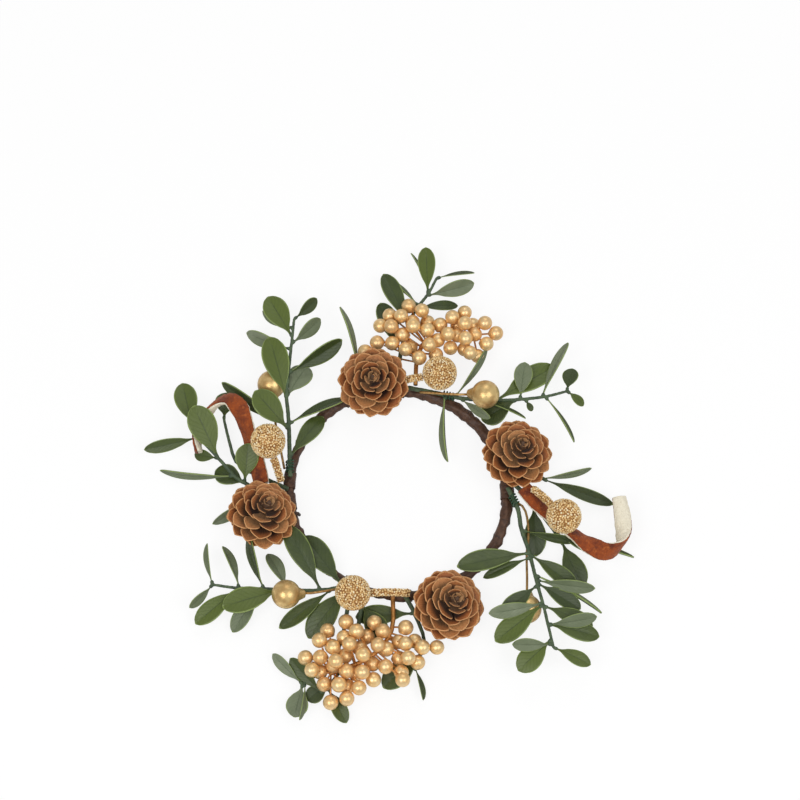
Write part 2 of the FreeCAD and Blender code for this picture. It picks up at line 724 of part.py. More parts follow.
def peel_taper(share):
    """Width of the strip, drawn in to a rounded end."""
    fullness = math.sin(math.pi * (taper_start_share + taper_run_share * share))
    return end_width_share + (1 - end_width_share) * fullness ** taper_power_share


def make_peel_layer(name, thickness, way):
    """One layer of a peel, crowned on the side it faces."""
    sections = []
    for point, across, out, share in peel_frames(name):
        half = across * (peel_width / 2 * peel_taper(share))
        edge = out * (way * peel_edge)
        crown = out * (way * thickness)
        near = point - half
        far = point + half
        sections.append(Part.Wire([
            Part.Arc(near + edge, point + crown, far + edge).toShape(),
            Part.makeLine(far + edge, far),
            Part.makeLine(far, near),
            Part.makeLine(near, near + edge),
        ]))
    stretches = []
    for first in range(0, len(sections) - 1, peel_step_count):
        stretches.append(Part.makeLoft(sections[first:first + peel_step_count + 1], True, True))
    return stretches[0].multiFuse(stretches[1:])


def make_leaf(base, heading, lift, roll, length, width):
    """Leaf with a bent midrib, slightly cupped, narrow at its stalk."""
    level = turned(heading)
    side = turned(heading - 90)
    direction = level * math.cos(math.radians(lift)) + Vector(0, 0, math.sin(math.radians(lift)))
    up = side.cross(direction)
    turn = math.radians(roll)
    across = side * math.cos(turn) + up * math.sin(turn)
    out = up * math.cos(turn) - side * math.sin(turn)
    bend = math.radians(leaf_bend)
    sections = []
    for along, half in leaf_outline_shares:
        angle = bend * along
        middle = base + (direction * math.sin(angle) + out * (math.cos(angle) - 1)) * (length / bend)
        normal = out * math.cos(angle) + direction * math.sin(angle)
        half_width = half * width / 2
        cup = normal * (cup_share * half_width)
        thickness = normal * (leaf_edge / 2 + (leaf_thickness - leaf_edge) / 2)
        edge = normal * (leaf_edge / 2)
        left = middle - across * half_width + cup
        right = middle + across * half_width + cup
        sections.append(Part.Wire([
            Part.Arc(left + edge, middle + thickness, right + edge).toShape(),
            Part.makeLine(right + edge, right - edge),
            Part.Arc(right - edge, middle - thickness, left - edge).toShape(),
            Part.makeLine(left - edge, left + edge),
        ]))
    return Part.makeLoft(sections, True, False)


def twig_points(name, number):
    """Route of a twig, raised by the wire where a tie is wound round its foot."""
    foot = twig_radius
    if any(name == row[0] and number == row[1] for row in tie_shares):
        foot = foot + seat_gap + 2 * tie_wire_radius
    return [place(*row, foot=foot) for row in spray_shares[name][0][number]]


def twig_radius_at(share):
    return twig_radius + share * (twig_tip_radius - twig_radius)


def make_spray_leaves(twigs, rows):
    """All leaves of a spray, each starting at the bark of its twig."""
    leaves = []
    for twig, station, heading, lift, roll, length, width in rows:
        point, direction = curve_point(twigs[twig], station)
        clear = twig_radius_at(station) + seat_gap
        base = point + turned(heading) * clear
        leaves.append(make_leaf(base, heading, lift, roll, length * leaf_length, width * leaf_width))
    return leaves


def make_tie(points, first_share):
    """Green wire wound round the foot of a twig."""
    length = tie_turn_count * tie_pitch
    total = sum((b - a).Length for a, b in zip(points, points[1:]))
    start = curve_point(points, first_share)[0]
    end = curve_point(points, first_share + length / total)[0]
    coil_radius = twig_radius + seat_gap + tie_wire_radius
    helix = Part.Wire(Part.makeHelix(tie_pitch, length, coil_radius).Edges)
    section = Part.makeCircle(tie_wire_radius, Vector(coil_radius, 0, 0), Vector(0, 1, 0))
    coil = helix.makePipeShell([Part.Wire([section])], True, True)
    coil.Placement = FreeCAD.Placement(start, FreeCAD.Rotation(Vector(0, 0, 1), end - start))
    return coil


def export(node, shapes):
    """One STEP file per node; a group of like pieces is kept as separate solids."""
    shape = shapes[0] if len(shapes) == 1 else Part.makeCompound(shapes)
    shape.exportStep("parts/" + node + ".step")


def build_hoop():
    export("hoop_wire", [wire_hoop(hoop_wire_radius)])
    export("tape_wrap", [make_tape_wrap(wire_hoop(hoop_wire_radius + wire_clearance))])


def build_cones():
    cone = make_cone()
    wires = []
    for name in cone_shares:
        wires.append(make_cone_wire(name))
        export("cone_" + name, [stand_cone(cone, name, wires[-1])])
    export("cone_wires", wires)


def build_balls():
    for name, (centre_shares, foot_shares) in beaded_ball_shares.items():
        centre = place(*centre_shares)
        foot = place(*foot_shares, foot=beaded_stem_radius)
        export("beaded_ball_" + name, [Part.makeSphere(beaded_ball_radius, centre)])
        export("beaded_stem_" + name, [make_beaded_stem(centre, foot)])
    for name, (centre_shares, wire_shares) in smooth_ball_shares.items():
        centre = place(*centre_shares)
        points = [place(*row, foot=ball_wire_radius) for row in wire_shares]
        export("smooth_ball_" + name, [make_smooth_ball(centre, points)])
        export("ball_wire_" + name, [make_ball_wire(centre, points)])


def build_berries():
    for name in berry_cluster_shares:
        centres, route = cluster_layout(name)
        export("berries_" + name, [Part.makeSphere(berry_radius, centre) for centre in centres])
        export("berry_stems_" + name, [make_berry_stems(centres, route)])


def build_peels():
    for name in peel_shares:
        export("peel_rind_" + name, [make_peel_layer(name, rind_thickness, 1)])
        export("peel_pith_" + name, [make_peel_layer(name, pith_thickness, -1)])


def build_sprays():
    for name, (twig_shares, leaf_shares) in spray_shares.items():
        twigs = [twig_points(name, number) for number in range(len(twig_shares))]
        stems = [make_tube(points, twig_radius, twig_tip_radius) for points in twigs]
        export("stem_" + name, stems)
        export("leaves_" + name, make_spray_leaves(twigs, leaf_shares))
    ties = []
    for name, twig, start in tie_shares:
        ties.append(make_tie(twig_points(name, twig), start))
    export("green_ties", ties)


def angle_between(first, second):
    return abs((first - second + 180) % 360 - 180)


def build_bands():
    """A band of tape where the foot of each twig is bound to the hoop."""
    spacing = math.degrees(band_spacing_share * band_length / ring_radius)
    angles = []
    for twig_shares, leaf_shares in spray_shares.values():
        for rows in twig_shares:
            angle = hoop_angle(place(*rows[0]))
            if all(angle_between(angle, other) > spacing for other in angles):
                angles.append(angle)
    export("tape_bands", [make_band(angle) for angle in angles])


def main():
    os.makedirs("parts", exist_ok=True)
    build_hoop()
    build_bands()
    build_cones()
    build_balls()
    build_berries()
    build_peels()
    build_sprays()


main()
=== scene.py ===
import math
import random

import bmesh
import bpy
import numpy as np
from bpy.props import FloatProperty, FloatVectorProperty, IntProperty, PointerProperty
from mathutils import Matrix, Vector


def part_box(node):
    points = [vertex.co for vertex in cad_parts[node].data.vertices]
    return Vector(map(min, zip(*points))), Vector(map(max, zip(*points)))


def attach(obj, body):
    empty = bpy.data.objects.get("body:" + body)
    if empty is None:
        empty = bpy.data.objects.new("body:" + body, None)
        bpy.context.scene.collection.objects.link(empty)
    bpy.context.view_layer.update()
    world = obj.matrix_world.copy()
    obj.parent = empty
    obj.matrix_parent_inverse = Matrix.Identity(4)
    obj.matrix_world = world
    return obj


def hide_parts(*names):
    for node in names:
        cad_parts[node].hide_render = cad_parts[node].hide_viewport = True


bl_info = {
    "name": "Candle ring",
    "version": (1, 0, 0),
    "blender": (4, 5, 0),
    "location": "View3D > Sidebar > Candle ring",
    "description": "Dresses a candle ring of cones, gold balls, berries, peel and leafy sprays",
    "category": "Object",
}

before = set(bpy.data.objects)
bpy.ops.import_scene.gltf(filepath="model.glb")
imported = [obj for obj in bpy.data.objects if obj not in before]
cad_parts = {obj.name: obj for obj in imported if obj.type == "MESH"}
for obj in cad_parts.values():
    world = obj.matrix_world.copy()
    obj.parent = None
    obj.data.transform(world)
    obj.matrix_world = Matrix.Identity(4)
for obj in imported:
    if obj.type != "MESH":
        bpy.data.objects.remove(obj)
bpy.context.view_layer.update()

MM = 0.001
UP = Vector((0, 0, 1))
merge_distance = 0.002 * MM
pick_slack = 0.01 * MM

# Hoop: where it is thickest, how oval it is and where, how far the tape is pressed on the table
thick_heading = math.radians(50)
oval_share, oval_heading = 0.02, math.radians(135)
press_depth = 0.5 * MM

# Laps of tape: slant and bend over the hoop, drifts along it (laps, waves, start), edge and seam
lap_slant, lap_bend = 0.17, 0.10
lap_drifts = ((0.20, 5, 1.0), (0.14, 13, 2.0))
lap_edge, crease_height = 0.6 * MM, 0.32 * MM
seam_depth, seam_share = 0.35 * MM, 0.06
band_laps, band_lap_height = 75, 9 * MM

# Weathered pieces: voxel size, rounds of smoothing, grain and depth of the unevenness
band_weather = (0.3 * MM, 3, 1.6 * MM, 0.35 * MM)
bark_weather = (0.25 * MM, 5, 1.4 * MM, 0.3 * MM)
rind_weather = (0.32 * MM, 6, 3.0 * MM, 0.5 * MM)
pith_weather = (0.32 * MM, 6, 3.0 * MM, 0.7 * MM)

# Heading, lean and turn of each cone, and how far its scales spread
cone_stances = {
    "upper_left": (-90.0, 12.0, 0.0, 1.0),
    "right": (0.0, 9.0, 17.0, 1.0),
    "bottom": (-15.0, 16.0, 41.0, 1.12),
    "left": (15.0, 16.0, 63.0, 1.0),
}

# Half width of a leaf and of a cone scale at places along it
leaf_half_widths = (
    (-0.05, 0.10), (0.0, 0.10), (0.10, 0.13), (0.18, 0.26), (0.30, 0.60), (0.50, 0.93),
    (0.68, 1.0), (0.82, 0.86), (0.92, 0.58), (0.97, 0.34), (1.0, 0.06))
scale_half_widths = (
    (0.0, 0.30), (0.30, 0.52), (0.50, 0.84), (0.64, 1.0), (0.78, 0.93), (0.88, 0.70), (0.95, 0.40),
    (1.0, 0.08))

# Turns of scales on a cone, lowest first: radius, rim height, root height, number
scale_turns = (
    (0.86, 0.13, 0.05, 11), (1.0, 0.28, 0.13, 11), (0.93, 0.45, 0.23, 9), (0.74, 0.62, 0.36, 7),
    (0.52, 0.78, 0.50, 6), (0.31, 0.91, 0.66, 5), (0.13, 0.99, 0.80, 4))

# Scales: turn from one to the next, widest shares of radius and length, depth, and their play
golden_angle = math.radians(137.508)
scale_width_share, scale_stoutness, scale_depth_share = 0.56, 1.15, 0.8
angle_play, reach_play = 0.05, (-0.02, 0.01)
twist_play, width_play = 0.22, (0.92, 1.08)

# Core and pale bud of a cone, in shares of its radius and height
root_share, root_taper_share = 0.30, 0.24
core_foot_share, core_top_share, core_height_share = 0.34, 0.1, 0.9
bud_pinch, bud_rise_share, bud_start_share = 0.5, 0.07, 0.86

# Blades: grid, start and thickness, then the bow, cup, groove and curl of each
leaf_blade = ((26, 10), -0.05, 0.020)
leaf_bends = {
    "leaf_flat": (0.034, 0.022, 0.010, 0.0), "leaf_cupped": (0.030, 0.045, 0.014, -0.10),
    "leaf_curled": (0.040, 0.005, 0.012, -0.22)}
scale_blade = ((14, 10), 0.0, 0.04)
scale_bends = {"scale_flat": (-0.03, 0.12, 0.0, -0.35), "scale_deep": (-0.05, 0.19, 0.0, 0.0)}
groove_rows, thinnest_share, curl_start = 2.5, 0.15, 0.55

# Small beads: spacing and half width in shares of the grain, stretch, tries for each spot
bead_spacing_share, bead_half_shares = 0.92, (0.46, 0.54)
bead_stretches, tries_per_spot = (1.0, 1.45), 9

# Smooth balls: radius, and the steps that draw out the neck: start, draw and pinch
smooth_ball_radius = 7.1 * MM
neck_steps = ((0.92, 0.10, 1.0), (0.96, 0.12, 0.86), (0.985, 0.14, 0.80))

# Berries: crown and collar in shares of the radius, fanning out, spin, sizes and tones
crown_start, dimple_share = 0.999, 0.05
collar_start, collar_draw, collar_pinch = 0.97, 0.10, 0.8
fan_share, fan_rise = 0.5, 4 * MM
berry_spin, berry_sizes, berry_tones = 6.28, (0.95, 1.0), (0.35, 1.0)

# Leaves: tones (painted light on the leaves that catch it, plain), ends, tips and body of a solid
# in shares of its length, knot at the foot
painted_light_tones, plain_tones = (0.75, 1.0), (0, 0.45)
end_shares, tip_shares, body_shares = (0.03, 0.97), (0.12, 0.94), (0.3, 0.8)
knot_radius, knot_stretch = 0.95 * MM, 1.5

# Plain finishes: roughness, grain, depth of the relief, metal share
plain_looks = {
    "hoop_steel": (0.35, 0.6 * MM, 0.03 * MM, 1.0), "brown_wire": (0.5, 0.5 * MM, 0.1 * MM, 0.0),
    "bead_ground_shade": (0.6, 0.5 * MM, 0.05 * MM, 0.4), "gold_wire": (0.4, 0.5 * MM, 0.05 * MM, 0.7),
    "berry_foil": (0.35, 0.8 * MM, 0.25 * MM, 0.8), "twig_bark": (0.55, 0.8 * MM, 0.18 * MM, 0.0),
    "green_wire": (0.4, 0.4 * MM, 0.06 * MM, 0.0)}

# Stage: floor, lamps (place, size, setting and share of it) and camera
floor_drop, floor_grey, floor_white = 0.02 * MM, 0.86, 1.06
lamps = {
    "key": ((-0.55, -0.60, 1.15), 0.75, "key", 1),
    "fill": ((0.62, -0.45, 1.05), 0.80, "fill", 1),
    "back": ((0.10, 0.95, 1.0), 0.7, "fill", 0.5)}
camera_rise, camera_distance, aim_height = math.radians(70), 1.2, 2.3 * MM

# Leaves of each spray that show their undersides, and those painted lighter because they catch the
# light
sprays = {
    "upper_left": ((2, 3, 5, 7), (1, 4, 8)), "left": ((5, 8), (0, 1, 7)),
    "lower_left": ((0, 1, 3, 6, 9), (7, 8)), "bottom": ((1, 3, 4), ()), "top": ((1, 6, 8), (3,)),
    "upper_right": ((1, 3, 8, 10, 11), (0, 5)),
    "lower_right": ((3, 5, 7, 10, 12, 17), (11, 13, 14))}


def linear(red, green, blue):
    """Scene colour of a screen colour given from 0 to 255."""
    shares = [level / 255 for level in (red, green, blue)]
    return tuple(s / 12.92 if s <= 0.04045 else ((s + 0.055) / 1.055) ** 2.4 for s in shares)


def smooth_value(knots, at):
    """Value of a smooth curve through (place, value) knots."""
    index = 0
    while index < len(knots) - 2 and at > knots[index + 1][0]:
        index += 1
    x0, b = knots[index]
    x1, c = knots[index + 1]
    a = knots[index - 1][1] if index > 0 else b
    d = knots[index + 2][1] if index + 2 < len(knots) else c
    t = min(1.0, max(0.0, (at - x0) / (x1 - x0)))
    return 0.5 * (2 * b + (c - a) * t + (2 * a - 5 * b + 4 * c - d) * t ** 2
                  + (3 * b - a - 3 * c + d) * t ** 3)


# Colours that the panel doesn't offer
steel, steel_bright = linear(130, 130, 126), linear(170, 168, 162)
bead_shadow = linear(150, 102, 54)
rind_bright = linear(206, 112, 44)
pith_fibre, pith_stain = linear(232, 222, 196), linear(176, 128, 78)
leaf_vein, under_vein, under_dark = linear(50, 66, 28), linear(78, 92, 62), linear(106, 118, 86)
twig_dark, tie_dark = linear(60, 76, 54), linear(26, 56, 36)


# Shader nodes

class Value:
    """A node's output. Arithmetic on it adds Math nodes."""

    def __init__(self, paint, socket):
        self.paint = paint
        self.socket = socket

    def maths(self, operation, first, second):
        return self.paint.node("ShaderNodeMath", {"operation": operation}, {0: first, 1: second})

    def __add__(self, other):
        return self.maths("ADD", self, other)

    def __sub__(self, other):
        return self.maths("SUBTRACT", self, other)

    def __rsub__(self, other):
        return self.maths("SUBTRACT", other, self)

    def __mul__(self, other):
        return self.maths("MULTIPLY", self, other)

    def size(self):
        return self.maths("ABSOLUTE", self, 0)

    def wave(self):
        return self.maths("SINE", self, 0)

    def ramp(self, low, high, start=0.0, end=1.0):
        """Smooth step of this value from start, below low, to end, above high."""
        return self.paint.node(
            "ShaderNodeMapRange", {"interpolation_type": "SMOOTHSTEP"},
            {"Value": self, "From Min": low, "From Max": high, "To Min": start, "To Max": end})


class Paint:
    """One material and the nodes in it."""

    def __init__(self, name, **constants):
        self.material = bpy.data.materials.new(name)
        self.material.use_nodes = True
        self.tree = self.material.node_tree
        self.shader = self.tree.nodes["Principled BSDF"]
        for key, setting in constants.items():
            self.shader.inputs[key.replace("_", " ")].default_value = setting

    def node(self, kind, settings=None, inputs=None, output=0):
        made = self.tree.nodes.new(kind)
        for key, setting in (settings or {}).items():
            setattr(made, key, setting)
        for key, value in (inputs or {}).items():
            if isinstance(value, Value):
                self.tree.links.new(value.socket, made.inputs[key])
            elif made.inputs[key].type == "RGBA":
                made.inputs[key].default_value = (*value, 1)
            else:
                made.inputs[key].default_value = value
        return Value(self, made.outputs[output])

    def place(self):
        return self.node("ShaderNodeTexCoord", output="Object")

    def surface(self):
        """Along and across shares of the piece's own UV map."""
        uv = self.node("ShaderNodeUVMap", {"uv_map": "UVMap"})
        split = self.node("ShaderNodeSeparateXYZ", {}, {0: uv})
        return split, Value(self, split.socket.node.outputs[1])

    def own(self, attribute):
        return self.node("ShaderNodeAttribute", {"attribute_name": attribute}, output="Fac")

    def noise(self, grain, detail=3.0, roughness=0.55, distortion=0.0):
        """Cloudy pattern whose patches are about grain across."""
        return self.node("ShaderNodeTexNoise", {}, {
            "Vector": self.place(), "Scale": 1 / grain, "Detail": detail,
            "Roughness": roughness, "Distortion": distortion})

    def cells(self, grain):
        """Distance to the nearest of scattered points about grain apart."""
        return self.node("ShaderNodeTexVoronoi", {"feature": "F1"},
                         {"Vector": self.place(), "Scale": 1 / grain})

    def mix(self, factor, first, second):
        return self.node("ShaderNodeMix", {"data_type": "RGBA"},
                         {0: factor, 6: first, 7: second}, output=2)

    def finished(self, base, roughness, height=None, distance=0.0):
        """The material, with a relief from 0 to 1 that stands up by a distance."""
        links = {"Base Color": base, "Roughness": roughness}
        if height is not None:
            links["Normal"] = self.node("ShaderNodeBump", {}, {
                "Strength": 1.0, "Distance": distance, "Height": height})
        for key, value in links.items():
            self.tree.links.new(value.socket, self.shader.inputs[key])
        return self.material


def leaf_paint(name, dark, light, rim, vein, roughness):
    """Leaf skin with a dark midrib, fine side veins and a thin pale rim."""
    paint = Paint(name, Roughness=roughness, Coat_Weight=0.12, Coat_Roughness=0.35)
    along, across = paint.surface()
    tone = paint.own("tone")
    off_middle = (across - 0.5).size() * 2
    cloud = paint.noise(5 * MM)
    # Tone from dark to light green: random, and painted light on the leaves that catch the light
    shade = (tone * 0.75 + cloud * 0.5 - 0.12).ramp(0.05, 0.95)
    base = paint.mix(shade, dark, light)
    veins = (along * 62 - off_middle * 16).wave().ramp(0.75, 1.0)
    base = paint.mix(veins * (1 - off_middle) * 0.22, base, vein)
    midrib = (1 - off_middle.ramp(0.02, 0.08)) * (1 - along.ramp(0.7, 0.95))
    base = paint.mix(midrib * 0.55, base, vein)
    edge = paint.noise(2 * MM) * 0.10 + off_middle
    edge = edge.ramp(0.93, 1.02)
    tip = along.ramp(0.965, 0.995)
    base = paint.mix((edge + tip * (1 - edge)) * 0.85, base, rim)
    dull = paint.noise(1.5 * MM) * 0.20 + (roughness - 0.10)
    relief = veins * -0.5 + paint.noise(0.6 * MM) * 0.5 + midrib * -0.6
    return paint.finished(base, dull, relief, 0.12 * MM)


def gold_paint(name, low, middle, high, roughness, grain):
    """Satin gold paint with faint clouding."""
    paint = Paint(name, Metallic=0.62, Roughness=roughness, Coat_Weight=0.2, Coat_Roughness=0.3)
    cloud = paint.noise(grain)
    base = paint.mix(cloud.ramp(0.35, 0.65), middle, high)
    base = paint.mix((1 - paint.own("tone")) * 0.5, base, low)
    dull = paint.noise(0.7 * MM) * 0.16 + (roughness - 0.06)
    return paint.finished(base, dull, paint.noise(0.5 * MM), 0.03 * MM)


def bead_paint(name, low, body, high):
    """Bright metal of the small beads, no two quite alike."""
    paint = Paint(name, Metallic=0.3, Coat_Weight=0.3)
    tone = paint.own("tone")
    base = paint.mix(tone.ramp(0.0, 0.55), low, body)
    base = paint.mix(tone.ramp(0.5, 1.0) * 0.8, base, high)
    return paint.finished(base, 0.42 - tone * 0.12)


def scale_paint(name, shade_and_streaks, body, rim, bud):
    """Cone scale: painted shade within, towards its root, brown outside, tan along its thin rim."""
    paint = Paint(name, Roughness=0.6, Sheen_Weight=0.1)
    along, across = paint.surface()
    tone = paint.own("tone")
    pale = paint.own("pale")
    off_middle = (across - 0.5).size() * 2
    streaks = paint.noise(0.9 * MM, 4.0, 0.6)
    # Painted shade: each scale darkens towards its root, where the scales overlap it
    base = paint.mix((along + off_middle * 0.06).ramp(0.56, 0.94), shade_and_streaks, body)
    base = paint.mix(tone * 0.45, base, rim)
    # Dark streaks of grain, in the same colour as the painted shade
    base = paint.mix(streaks.ramp(0.45, 0.75) * 0.4, base, shade_and_streaks)
    wobble = paint.noise(1.6 * MM) * 0.12 - 0.06
    edge = (along + wobble + off_middle * 0.10).ramp(0.95, 1.0)
    side = (off_middle + wobble).ramp(0.88, 0.97) * along.ramp(0.45, 0.75)
    base = paint.mix((edge + side * (1 - edge)) * 0.75, base, rim)
    base = paint.mix(pale, base, bud)
    grooves = (across * 58 + streaks * 5).wave() * 0.25
    return paint.finished(base, streaks * 0.25 + 0.42, streaks * 0.6 + grooves, 0.16 * MM)


def tape_paint(name, seam, body, high):
    """Waxed crepe tape: dark seams between laps and fine creases along it."""
    paint = Paint(name, Roughness=0.5, Coat_Weight=0.1, Coat_Roughness=0.4)
    lap = paint.own("lap")
    cloud = paint.noise(2.2 * MM, 4.0)
    creases = paint.noise(0.5 * MM, 2.0, 0.5, 1.5)
    base = paint.mix(cloud.ramp(0.35, 0.7), body, high)
    base = paint.mix((1 - lap.ramp(0.0, 0.14)) * 0.9 + lap.ramp(0.94, 1.0) * 0.4, base, seam)
    return paint.finished(base, cloud * 0.3 + 0.30, creases * 0.6 + cloud * 0.6, 0.22 * MM)


def plain_paint(name, dark, light):
    """Clouded colour with a fine relief, for wires, foil, twigs and the ground under beads, whose
    dark colour is painted shade.
    """
    roughness, grain, depth, metallic = plain_looks[name]
    paint = Paint(name, Roughness=roughness, Metallic=metallic)
    base = paint.mix(paint.noise(4 * grain, 4.0).ramp(0.3, 0.7), dark, light)
    dull = paint.noise(2 * grain) * 0.25 + (roughness - 0.1)
    return paint.finished(base, dull, paint.noise(grain, 3.0), depth)


def rind_paint(name, dark, body, high):
    """Velvety dried rind with small pores."""
    paint = Paint(name, Roughness=0.85, Sheen_Weight=0.15, Sheen_Roughness=0.5)
    cloud = paint.noise(6 * MM, 4.0, 0.6)
    pores = paint.cells(0.8 * MM)
    base = paint.mix(cloud.ramp(0.30, 0.60), dark, body)
    base = paint.mix(paint.noise(2.2 * MM, 4.0).ramp(0.52, 0.75) * 0.6, base, high)
    base = paint.mix((1 - pores.ramp(0.0, 0.35)) * 0.45, base, dark)
    relief = pores.ramp(0.0, 0.5) * 0.7 + paint.noise(0.35 * MM) * 0.6
    return paint.finished(base, cloud * 0.2 + 0.72, relief, 0.25 * MM)


def pith_paint(name, light, dark, stain):
    """Pale fibrous pith, stained here and there."""
    paint = Paint(name, Roughness=0.9)
    fibres = paint.noise(0.8 * MM, 4.0, 0.65, 0.8)
    base = paint.mix(fibres.ramp(0.4, 0.75), light, dark)
    base = paint.mix(paint.noise(9 * MM, 2.0).ramp(0.60, 0.70) * 0.5, base, stain)
    return paint.finished(base, fibres * 0.15 + 0.78, fibres, 0.3 * MM)


# Mesh helpers

def only(obj):
    """Selects one object and nothing else."""
    bpy.ops.object.select_all(action="DESELECT")
    obj.select_set(True)
    bpy.context.view_layer.objects.active = obj


def added(primitive, name, **settings):
    """Adds a primitive mesh under a name, its place applied."""
    bpy.ops.object.select_all(action="DESELECT")
    primitive(**settings)
    bpy.ops.object.transform_apply(location=True, rotation=True, scale=True)
    obj = bpy.context.object
    obj.name = name
    obj.data.name = name
    return obj


def placed(name, data):
    """New object in the scene."""
    obj = bpy.data.objects.new(name, data)
    bpy.context.scene.collection.objects.link(obj)
    return obj


def edit(on):
    """Goes into edit mode, picking by vertices, or out of it."""
    bpy.ops.object.mode_set(mode="EDIT" if on else "OBJECT")
    if on:
        bpy.ops.mesh.select_mode(type="VERT")


def lift(height):
    """Moves the picked vertices up."""
    bpy.ops.transform.translate(value=(0, 0, height))


def stretch(factors, middle):
    """Stretches the picked vertices about a point."""
    bpy.ops.transform.resize(value=factors, center_override=middle)


def pick(test):
    """In edit mode, selects the vertices whose place passes a test."""
    mesh = bpy.context.edit_object.data
    shape = bmesh.from_edit_mesh(mesh)
    for part in (*shape.faces, *shape.edges, *shape.verts):
        part.select = False
    for corner in shape.verts:
        corner.select = test(corner.co)
    shape.select_flush_mode()
    bmesh.update_edit_mesh(mesh)


def finish_with(obj, kind, **settings):
    """Adds a modifier and applies it."""
    only(obj)
    modifier = obj.modifiers.new(kind, kind)
    for key, setting in settings.items():
        setattr(modifier, key, setting)
    bpy.ops.object.modifier_apply(modifier=modifier.name)


def read(items, key, width=1, kind=np.int32):
    """Numbers of a mesh's faces, loops or vertices in one row."""
    numbers = np.zeros(len(items) * width, kind)
    items.foreach_get(key, numbers)
    return numbers


def give(obj, *materials):
    """Puts finishes on a piece; each face keeps its own number among them."""
    numbers = read(obj.data.polygons, "material_index")
    obj.data.materials.clear()
    for material in materials:
        obj.data.materials.append(material)
    numbers = np.minimum(numbers, len(materials) - 1).astype(np.int32)
    obj.data.polygons.foreach_set("material_index", numbers)


def settle(obj, slot, *nodes):
    """A finished piece lies on the table, rides on the ring and stands for its solids."""
    places = corners(obj.data)
    places[:, 2] = np.maximum(places[:, 2], 0)
    put_corners(obj.data, places)
    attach(obj, "root")
    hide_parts(*nodes)


def mark(mesh, name, values):
    """Stores one number for each vertex of a mesh."""
    attribute = mesh.attributes.new(name, "FLOAT", "POINT")
    attribute.data.foreach_set("value", np.asarray(values, np.float32))


def corners(mesh):
    """Places of a mesh's vertices, one in each row."""
    return read(mesh.vertices, "co", 3, np.float32).reshape(-1, 3).astype(float)


def put_corners(mesh, places):
    """Moves a mesh's vertices to the places in the rows."""
    mesh.vertices.foreach_set("co", np.asarray(places, np.float32).ravel())
    mesh.update()


def triangles(mesh):
    """First, second and third corner of every triangle of a mesh."""
    mesh.calc_loop_triangles()
    places = corners(mesh)
    index = np.array([triangle.vertices[:] for triangle in mesh.loop_triangles])
    return [places[index[:, column]] for column in range(3)]


def turn_to(way):
    """Rotation that takes the upright axis to a direction."""
    return UP.rotation_difference(way).to_matrix().to_4x4()


def merged_copy(node, name, angle=80.0):
    """Copy of a solid's mesh with its loose triangles merged and smoothed."""
    obj = placed(name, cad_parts[node].data.copy())
    only(obj)
    edit(True)
    bpy.ops.mesh.select_all(action="SELECT")
    bpy.ops.mesh.remove_doubles(threshold=merge_distance)
    edit(False)
    bpy.ops.object.shade_smooth_by_angle(angle=math.radians(angle))
    return obj


def lay(node, name, finish, slot, angle=60.0):
    """A wire or stem that keeps its solid's form."""
    obj = merged_copy(node, name, angle)
    give(obj, finish)
    settle(obj, slot, node)


def weather(obj, name, voxel, rounds, grain, depth):
    """Rounds a piece off and presses a cloudy unevenness into it."""
    finish_with(obj, "REMESH", mode="VOXEL", voxel_size=voxel)
    finish_with(obj, "SMOOTH", factor=0.5, iterations=rounds)
    cloud = bpy.data.textures.new(name, "CLOUDS")
    cloud.noise_scale = grain
    cloud.noise_depth = 2
    finish_with(obj, "DISPLACE", texture=cloud, strength=depth, mid_level=0.5,
                texture_coords="LOCAL")
    obj.data.shade_smooth()


def solid_points(node):
    """Corners of each separate solid in a node."""
    shape = bmesh.new()
    shape.from_mesh(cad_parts[node].data)
    bmesh.ops.remove_doubles(shape, verts=shape.verts, dist=merge_distance)
    seen = set()
    groups = []
    for first in shape.verts:
        if first in seen:
            continue
        seen.add(first)
        waiting = [first]
        group = []
        while waiting:
            corner = waiting.pop()
            group.append(tuple(corner.co))
            for edge in corner.link_edges:
                other = edge.other_vert(corner)
                if other not in seen:
                    seen.add(other)
                    waiting.append(other)
        groups.append(np.array(group))
    shape.free()
    return groups


def mesh_parts(mesh):
    """Corners, faces, map and finish numbers of a template mesh."""
    if mesh.uv_layers:
        spots = read(mesh.uv_layers[0].data, "uv", 2, np.float32)
    else:
        spots = np.zeros(len(mesh.loops) * 2, np.float32)
    return (corners(mesh), read(mesh.loops, "vertex_index"), read(mesh.polygons, "loop_total"),
            read(mesh.polygons, "material_index"), spots)


def stamped(name, items):
    """One object of many copies of template meshes.

    Each item is a template, its matrix and a dictionary of numbers to mark on it.
    A copy marked turned shows its other finish."""
    known = {}
    stacks = [[], [], [], [], []]
    marks = {}
    count = 0
    for template, matrix, numbers in items:
        if template.name not in known:
            known[template.name] = mesh_parts(template.data)
        places, uses, totals, finishes, spots = known[template.name]
        table = np.array(matrix)
        moved = places @ table[:3, :3].T + table[:3, 3]
        if numbers.get("turned"):
            finishes = 1 - finishes
        for stack, values in zip(stacks, (moved, uses + count, totals, finishes, spots)):
            stack.append(values)
        for key, number in numbers.items():
            marks.setdefault(key, []).append(np.full(len(places), float(number)))
        count += len(places)
    places, uses, totals, finishes, spots = (np.concatenate(stack) for stack in stacks)
    mesh = bpy.data.meshes.new(name)
    mesh.vertices.add(len(places))
    mesh.vertices.foreach_set("co", places.astype(np.float32).ravel())
    mesh.loops.add(len(uses))
    mesh.loops.foreach_set("vertex_index", uses.astype(np.int32))
    mesh.polygons.add(len(totals))
    starts = np.concatenate(([0], np.cumsum(totals)[:-1]))
    mesh.polygons.foreach_set("loop_start", starts.astype(np.int32))
    mesh.polygons.foreach_set("material_index", finishes.astype(np.int32))
    mesh.uv_layers.new(name="UVMap").data.foreach_set("uv", spots)
    mesh.update(calc_edges=True)
    mesh.shade_smooth()
    for key, values in marks.items():
        mark(mesh, key, np.concatenate(values))
    return placed(name, mesh)


def drop(*templates):
    """Takes templates out of the scene."""
    for template in templates:
        bpy.data.objects.remove(template)


